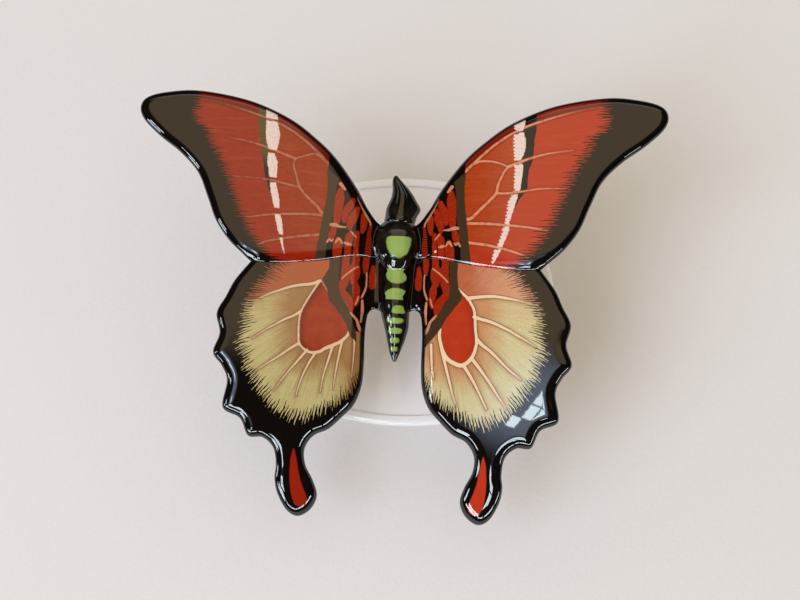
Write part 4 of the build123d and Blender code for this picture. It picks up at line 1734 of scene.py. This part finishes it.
    def eyes(self, station: Array, angle: Array) -> Array:
        """Extra radius of the head: an eye at each side, a crest on top, a hollow beside it and a collar.

        Each is a bell along the head times a bell about its own direction or a rise to the top.

        Args:
            station: Stations along the head.
            angle: Directions round it.

        Returns:
            Millimetres to add to the radius.
        """
        cosine, sine = np.cos(angle), np.sin(angle)
        right = self.right_eye.along(station) * bell(cosine - 1.0, self.right_eye.spread)
        left = self.left_eye.along(station) * bell(cosine + 1.0, self.left_eye.spread)
        crest = self.crest.along(station) * bell(sine - 1.0, self.crest.spread)
        beside = bell(np.abs(cosine) - self.hollow_side, self.hollow.spread)
        hollow = self.hollow.along(station) * beside * smoothstep(0.0, self.hollow_rise, sine)
        collar = self.collar.along(station) * smoothstep(0.0, self.collar_rise, sine)
        return right + left + crest + hollow + collar

    def lip(self, station: Array, angle: Array) -> Array:
        """Rear lip of the thorax, drawn forward at the sides by the cosine's cube to be round in plan."""
        return self.lip_reach * np.abs(np.cos(angle)) ** 3 * smoothstep(*self.lip_stations, station)

    def segments(self, station: Array, angle: Array) -> Array:
        """Faint swellings of the abdomen: a cosine of the station, fading out below."""
        wave = np.cos((station + self.segment_shift) * 2 * np.pi / self.segment_length)
        return self.segment_swell * wave * smoothstep(*self.segment_span, np.sin(angle))

    def build(self) -> None:
        """Make the three body pieces."""
        material = BodyGlaze().build()
        thorax = self.profile(self.thorax_rings, self.thorax_samples)
        abdomen = self.profile(self.abdomen_rings, self.abdomen_samples)
        head = self.profile(self.head_rings, self.head_samples)
        self.turned("thorax_glazed", "thorax", thorax, material, self.squareness, slide=self.lip)
        self.turned("abdomen_glazed", "abdomen", abdomen, material, offset=self.segments)
        self.turned("head_glazed", "head", head, material, offset=self.eyes)


class Plinth:
    """White base and stem, which keep their CAD shapes."""

    def build(self) -> None:
        """Dress both nodes in white glaze."""
        material = WhiteGlaze().build()
        for name in ("base", "stem"):
            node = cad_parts[name]
            node.data.materials.clear()
            node.data.materials.append(material)
            log.info("%s: %d faces, finish %s", name, len(node.data.polygons), material.name)


@dataclass(frozen=True)
class Window:
    """A window of the room: panes of one size in rows and columns, parted by bars."""

    name: str
    way: Triple
    rows: int
    pane: Pair
    bar: float
    columns: int = 2


@dataclass(frozen=True)
class Mirrored:
    """A card that only the glaze mirrors, square on to the object, shifted along its width and height."""

    name: str
    way: Triple
    size: Pair
    away: float = 1000.0
    spot: Pair = (0.0, 0.0)


@dataclass(frozen=True)
class SoftCard(Mirrored):
    """A card of light that fades out over a share of its width and height at each border."""

    colour: Colour = (1.0, 1.0, 1.0, 1.0)
    strength: float = 1.0
    soft: float = 0.3


@dataclass
class Studio:
    """Pale floor, soft light, the camera at the photograph's angle and the room that the glaze mirrors."""

    focal_px: float = 1100.0
    frame_px: Pair = (800.0, 600.0)
    anchor: Triple = (0.0, 0.0, 7.6)
    anchor_px: Pair = (403.3, 298.5)
    depth: float = 300.9
    lean_x: float = 5.0
    lean_y: float = 16.5
    roll: float = 3.4
    sensor: float = 36.0
    nearest: float = 0.01
    floor_half: float = 1500.0
    floor_chip: Colour = srgb(228, 224, 221)
    floor_shade: Colour = srgb(214, 211, 206)
    floor_cloud: float = 0.4
    floor_speck: float = 0.12
    floor_roughness: float = 0.62
    floor_grain: float = 0.00012
    floor_cloud_scale: float = 6.0
    floor_grain_noise: Triple = (700.0, 4.0, 0.7)
    floor_index: float = 1.4
    backdrop: Colour = (0.93, 0.92, 0.90, 1.0)
    ambient_tint: Colour = (1.0, 0.92, 0.76, 1.0)
    ambient: float = 0.75
    key_place: Triple = (-1120.0, -840.0, 1428.0)
    key_size: float = 1500.0
    key_watts: float = 18.0
    key_colour: Triple = (1.0, 1.14, 1.6)
    key_aim: float = 20.0
    aim: Triple = (30.0, -25.0, 33.0)
    window_colour: Colour = (0.78, 0.92, 1.0, 1.0)
    window_strength: float = 16.5
    skylight: Window = Window("skylight", (-0.238, -0.452, 0.861), 2, (25.0, 52.0), 6.0)
    skylight_side: Mirrored = Mirrored("skylight_side", (-0.238, -0.452, 0.861), (26.0, 40.0), 1000.0,
                                       (-40.0, -80.0))
    windows: list[Window] = listed(
        Window("front_window", (-0.215, -0.715, 0.665), 2, (76.0, 84.0), 12.0),
        Window("low_window", (-0.44, -0.77, 0.46), 2, (120.0, 80.0), 12.0),
        Window("high_window", (-0.7, -0.33, 0.63), 2, (56.0, 60.0), 10.0),
        Window("side_window", (-0.86, -0.38, 0.34), 3, (150.0, 62.0), 12.0, 1),
    )
    rear_angles: tuple[float, ...] = (-38.0, -13.0, 12.0, 37.0)
    rear_rise: float = 0.36
    rear_pane: Pair = (170.0, 90.0)
    rear_bar: float = 14.0
    soft_cards: list[SoftCard] = listed(
        SoftCard("front_surround", (-0.24, -0.45, 0.86), (420.0, 520.0), 1060.0, (0.0, 0.0),
                 (0.62, 0.76, 1.0, 1.0), 2.8, 0.35),
        SoftCard("ceiling", (0.0, -0.02, 1.0), (1330.0, 1620.0), 1300.0, (40.0, 310.0),
                 (1.0, 0.75, 0.46, 1.0), 1.07, 0.16),
        SoftCard("far_wall", (0.0, 0.62, 0.79), (1500.0, 300.0), 1200.0, (0.0, 0.0),
                 (1.0, 0.95, 0.86, 1.0), 1.3, 0.3),
    )
    dark_chip: Colour = (0.01, 0.009, 0.008, 1.0)
    dark_roughness: float = 0.9
    dark_index: float = 1.3
    dark_ceiling: Mirrored = Mirrored("dark_ceiling", (0.0, -0.02, 1.0), (2800.0, 2800.0), 1490.0)
    horizon_sides: int = 12
    horizon_far: float = 1300.0
    horizon_span: Pair = (30.0, 1500.0)

    def camera(self) -> None:
        """Camera whose axes come from the lean of its look-back line and its roll."""
        back = np.array([math.tan(math.radians(self.lean_x)), -math.tan(math.radians(self.lean_y)), 1.0])
        back /= np.linalg.norm(back)
        up = np.array([0.0, 1.0, 0.0]) - back * back[1]
        up /= np.linalg.norm(up)
        right = np.cross(up, back)
        turn = math.radians(self.roll)
        up, right = math.cos(turn) * up - math.sin(turn) * right, math.cos(turn) * right + math.sin(turn) * up
        shift_x = (self.anchor_px[0] - self.frame_px[0] / 2) * self.depth / self.focal_px
        shift_y = -(self.anchor_px[1] - self.frame_px[1] / 2) * self.depth / self.focal_px
        place = np.array(self.anchor) + self.depth * back - shift_x * right - shift_y * up
        data = bpy.data.cameras.new("camera")
        data.sensor_width = self.sensor
        data.lens = self.sensor * self.focal_px / self.frame_px[0]
        data.clip_start = self.nearest
        camera = bpy.data.objects.new("camera", data)
        bpy.context.scene.collection.objects.link(camera)
        matrix = np.eye(4)
        matrix[:3, 0], matrix[:3, 1], matrix[:3, 2], matrix[:3, 3] = right, up, back, place * MM
        camera.matrix_world = Matrix(matrix.tolist())
        bpy.context.scene.camera = camera

    def card(self, name: str, corners: Array, material: Material) -> Thing:
        """A flat card of the studio.

        Args:
            name: Name of the card.
            corners: Its four corners in millimetres.
            material: What it shows.

        Returns:
            The card's object.
        """
        mesh = bpy.data.meshes.new(name)
        mesh.from_pydata((np.asarray(corners, float) * MM).tolist(), [], [(0, 1, 2, 3)])
        mesh.materials.append(material)
        mesh.uv_layers.new(name="card").data.foreach_set("uv", (0.0, 0.0, 0.0, 1.0, 1.0, 1.0, 1.0, 0.0))
        made = bpy.data.objects.new(name, mesh)
        bpy.context.scene.collection.objects.link(made)
        return made

    def floor(self) -> None:
        """Large pale floor with a faint painted grain."""
        material, tree = new_finish("floor_paint")
        at = tree.place()
        grain = tree.noise(at, *self.floor_grain_noise)
        cloud = tree.noise(at, self.floor_cloud_scale)
        share = cloud * self.floor_cloud + grain * self.floor_speck
        colour = tree.blend(share, self.floor_chip, self.floor_shade)
        tree.glaze(colour, self.floor_roughness, tree.bump(grain, self.floor_grain), self.floor_index)
        h = self.floor_half
        self.card("floor", np.array([[-h, -h, 0], [h, -h, 0], [h, h, 0], [-h, h, 0]]), material)

    def world(self) -> None:
        """Pale surround: the backdrop for camera, gloss and glass, and plain soft light for the rest."""
        world = bpy.data.worlds.new("surround")
        bpy.context.scene.world = world
        tree = Tree(world)
        ray = {name: tree.node("ShaderNodeLightPath", {}, {}, name)
               for name in ("Is Camera Ray", "Is Glossy Ray", "Is Transmission Ray")}
        seen = ray["Is Camera Ray"].larger(ray["Is Glossy Ray"]).larger(ray["Is Transmission Ray"])
        strength = self.ambient + seen * (1.0 - self.ambient)
        tint = tree.blend(seen, self.ambient_tint, self.backdrop)
        shader = tree.node("ShaderNodeBackground", {}, {"Color": tint, "Strength": strength})
        tree.close(shader, "ShaderNodeOutputWorld")

    def lamp(self) -> None:
        """Square soft key lamp aimed at the object, which the glaze doesn't mirror."""
        data = bpy.data.lights.new("key", "AREA")
        data.shape = "SQUARE"
        data.size = self.key_size * MM
        data.energy = self.key_watts
        data.color = self.key_colour
        made = bpy.data.objects.new("key", data)
        bpy.context.scene.collection.objects.link(made)
        made.location = (np.array(self.key_place) * MM).tolist()
        made.visible_glossy = False
        toward = Vector((0, 0, self.key_aim * MM)) - Vector(made.location)
        made.rotation_euler = toward.to_track_quat("-Z", "Y").to_euler()

    def reflected(self, card: Mirrored, material: Material) -> None:
        """Make a card that only the glaze mirrors.

        Args:
            card: Its place and size.
            material: What it shows.
        """
        toward = np.array(card.way) / np.linalg.norm(card.way)
        across = np.cross([0.0, 0.0, 1.0], toward)
        across /= np.linalg.norm(across)
        upward = np.cross(toward, across)
        middle = np.array(self.aim) + toward * card.away + across * card.spot[0] + upward * card.spot[1]
        wide, high = across * card.size[0] / 2, upward * card.size[1] / 2
        corners = [middle + a * wide + b * high for a, b in ((-1, -1), (-1, 1), (1, 1), (1, -1))]
        self.mirrored_only(self.card(card.name, np.array(corners), material))

    def mirrored_only(self, card: Thing) -> None:
        """Hide a card from the camera, the diffuse light and the shadows."""
        for rays in ("camera", "diffuse", "shadow"):
            setattr(card, f"visible_{rays}", False)

    def glow(self) -> Material:
        """Plain light of the windows.

        Returns:
            The material.
        """
        material, tree = new_finish("window_light")
        light = {"Color": self.window_colour, "Strength": self.window_strength}
        tree.close(tree.node("ShaderNodeEmission", {}, light))
        return material

    def soft_glow(self, card: SoftCard) -> Material:
        """Light of a soft card: at each border it rises smoothly from clear to full.

        Args:
            card: The card that shows it.

        Returns:
            The material.
        """
        material, tree = new_finish(f"{card.name}_light")
        spread = tree.node("ShaderNodeTexCoord", {}, {}, "UV")
        full = None
        for axis in ("X", "Y"):
            at = tree.node("ShaderNodeSeparateXYZ", {}, {0: spread}, axis)
            inside = at.smaller(1.0 - at).rise(0.0, card.soft)
            full = inside if full is None else full * inside
        light = tree.node("ShaderNodeEmission", {}, {"Color": card.colour, "Strength": card.strength})
        clear = tree.node("ShaderNodeBsdfTransparent", {}, {})
        tree.close(tree.node("ShaderNodeMixShader", {}, {0: full, 1: clear, 2: light}))
        return material

    def panes(self, window: Window, material: Material) -> None:
        """The panes of a window, one card each.

        Args:
            window: The window.
            material: Light of the panes.
        """
        wide, high = window.pane
        for column in range(window.columns):
            for row in range(window.rows):
                across = (column - (window.columns - 1) / 2) * (wide + window.bar)
                upward = (row - (window.rows - 1) / 2) * (high + window.bar)
                name = f"{window.name}_{row}_{column}"
                self.reflected(Mirrored(name, window.way, window.pane, spot=(across, upward)), material)

    def room(self) -> None:
        """What the glaze mirrors: windows, bluish light round them, a warm ceiling and a far wall."""
        bright = self.glow()
        self.panes(self.skylight, bright)
        self.reflected(self.skylight_side, bright)
        for window in self.windows:
            self.panes(window, bright)
        for number, angle in enumerate(map(math.radians, self.rear_angles)):
            way = (math.sin(angle), -math.cos(angle), self.rear_rise)
            self.panes(Window(f"rear_window_{number}", way, 1, self.rear_pane, self.rear_bar), bright)
        for card in self.soft_cards:
            self.reflected(card, self.soft_glow(card))

    def dark_room(self) -> None:
        """A dark ceiling and a dark ring of walls behind all that the glaze mirrors."""
        dark, tree = new_finish("dark_card")
        tree.glaze(self.dark_chip, self.dark_roughness, None, self.dark_index)
        self.reflected(self.dark_ceiling, dark)
        turns = np.linspace(0, 2 * np.pi, self.horizon_sides + 1)
        ring = self.horizon_far * np.stack([np.cos(turns), np.sin(turns)], axis=1)
        low, high = self.horizon_span
        for k, (a, b) in enumerate(zip(ring, ring[1:])):
            corners = np.array([[*a, low], [*b, low], [*b, high], [*a, high]])
            self.mirrored_only(self.card(f"horizon_{k}", corners, dark))

    def build(self) -> None:
        """Set the whole studio."""
        self.camera()
        self.floor()
        self.world()
        self.room()
        self.dark_room()
        self.lamp()
        bpy.context.scene.view_settings.view_transform = "Standard"


def main() -> None:
    """Build the object and its studio in order."""
    logging.basicConfig(level=logging.INFO, format="%(name)s %(message)s")
    Studio().build()
    Plinth().build()
    Body().build()
    Wings().build()


if __name__ == "__main__":
    main()
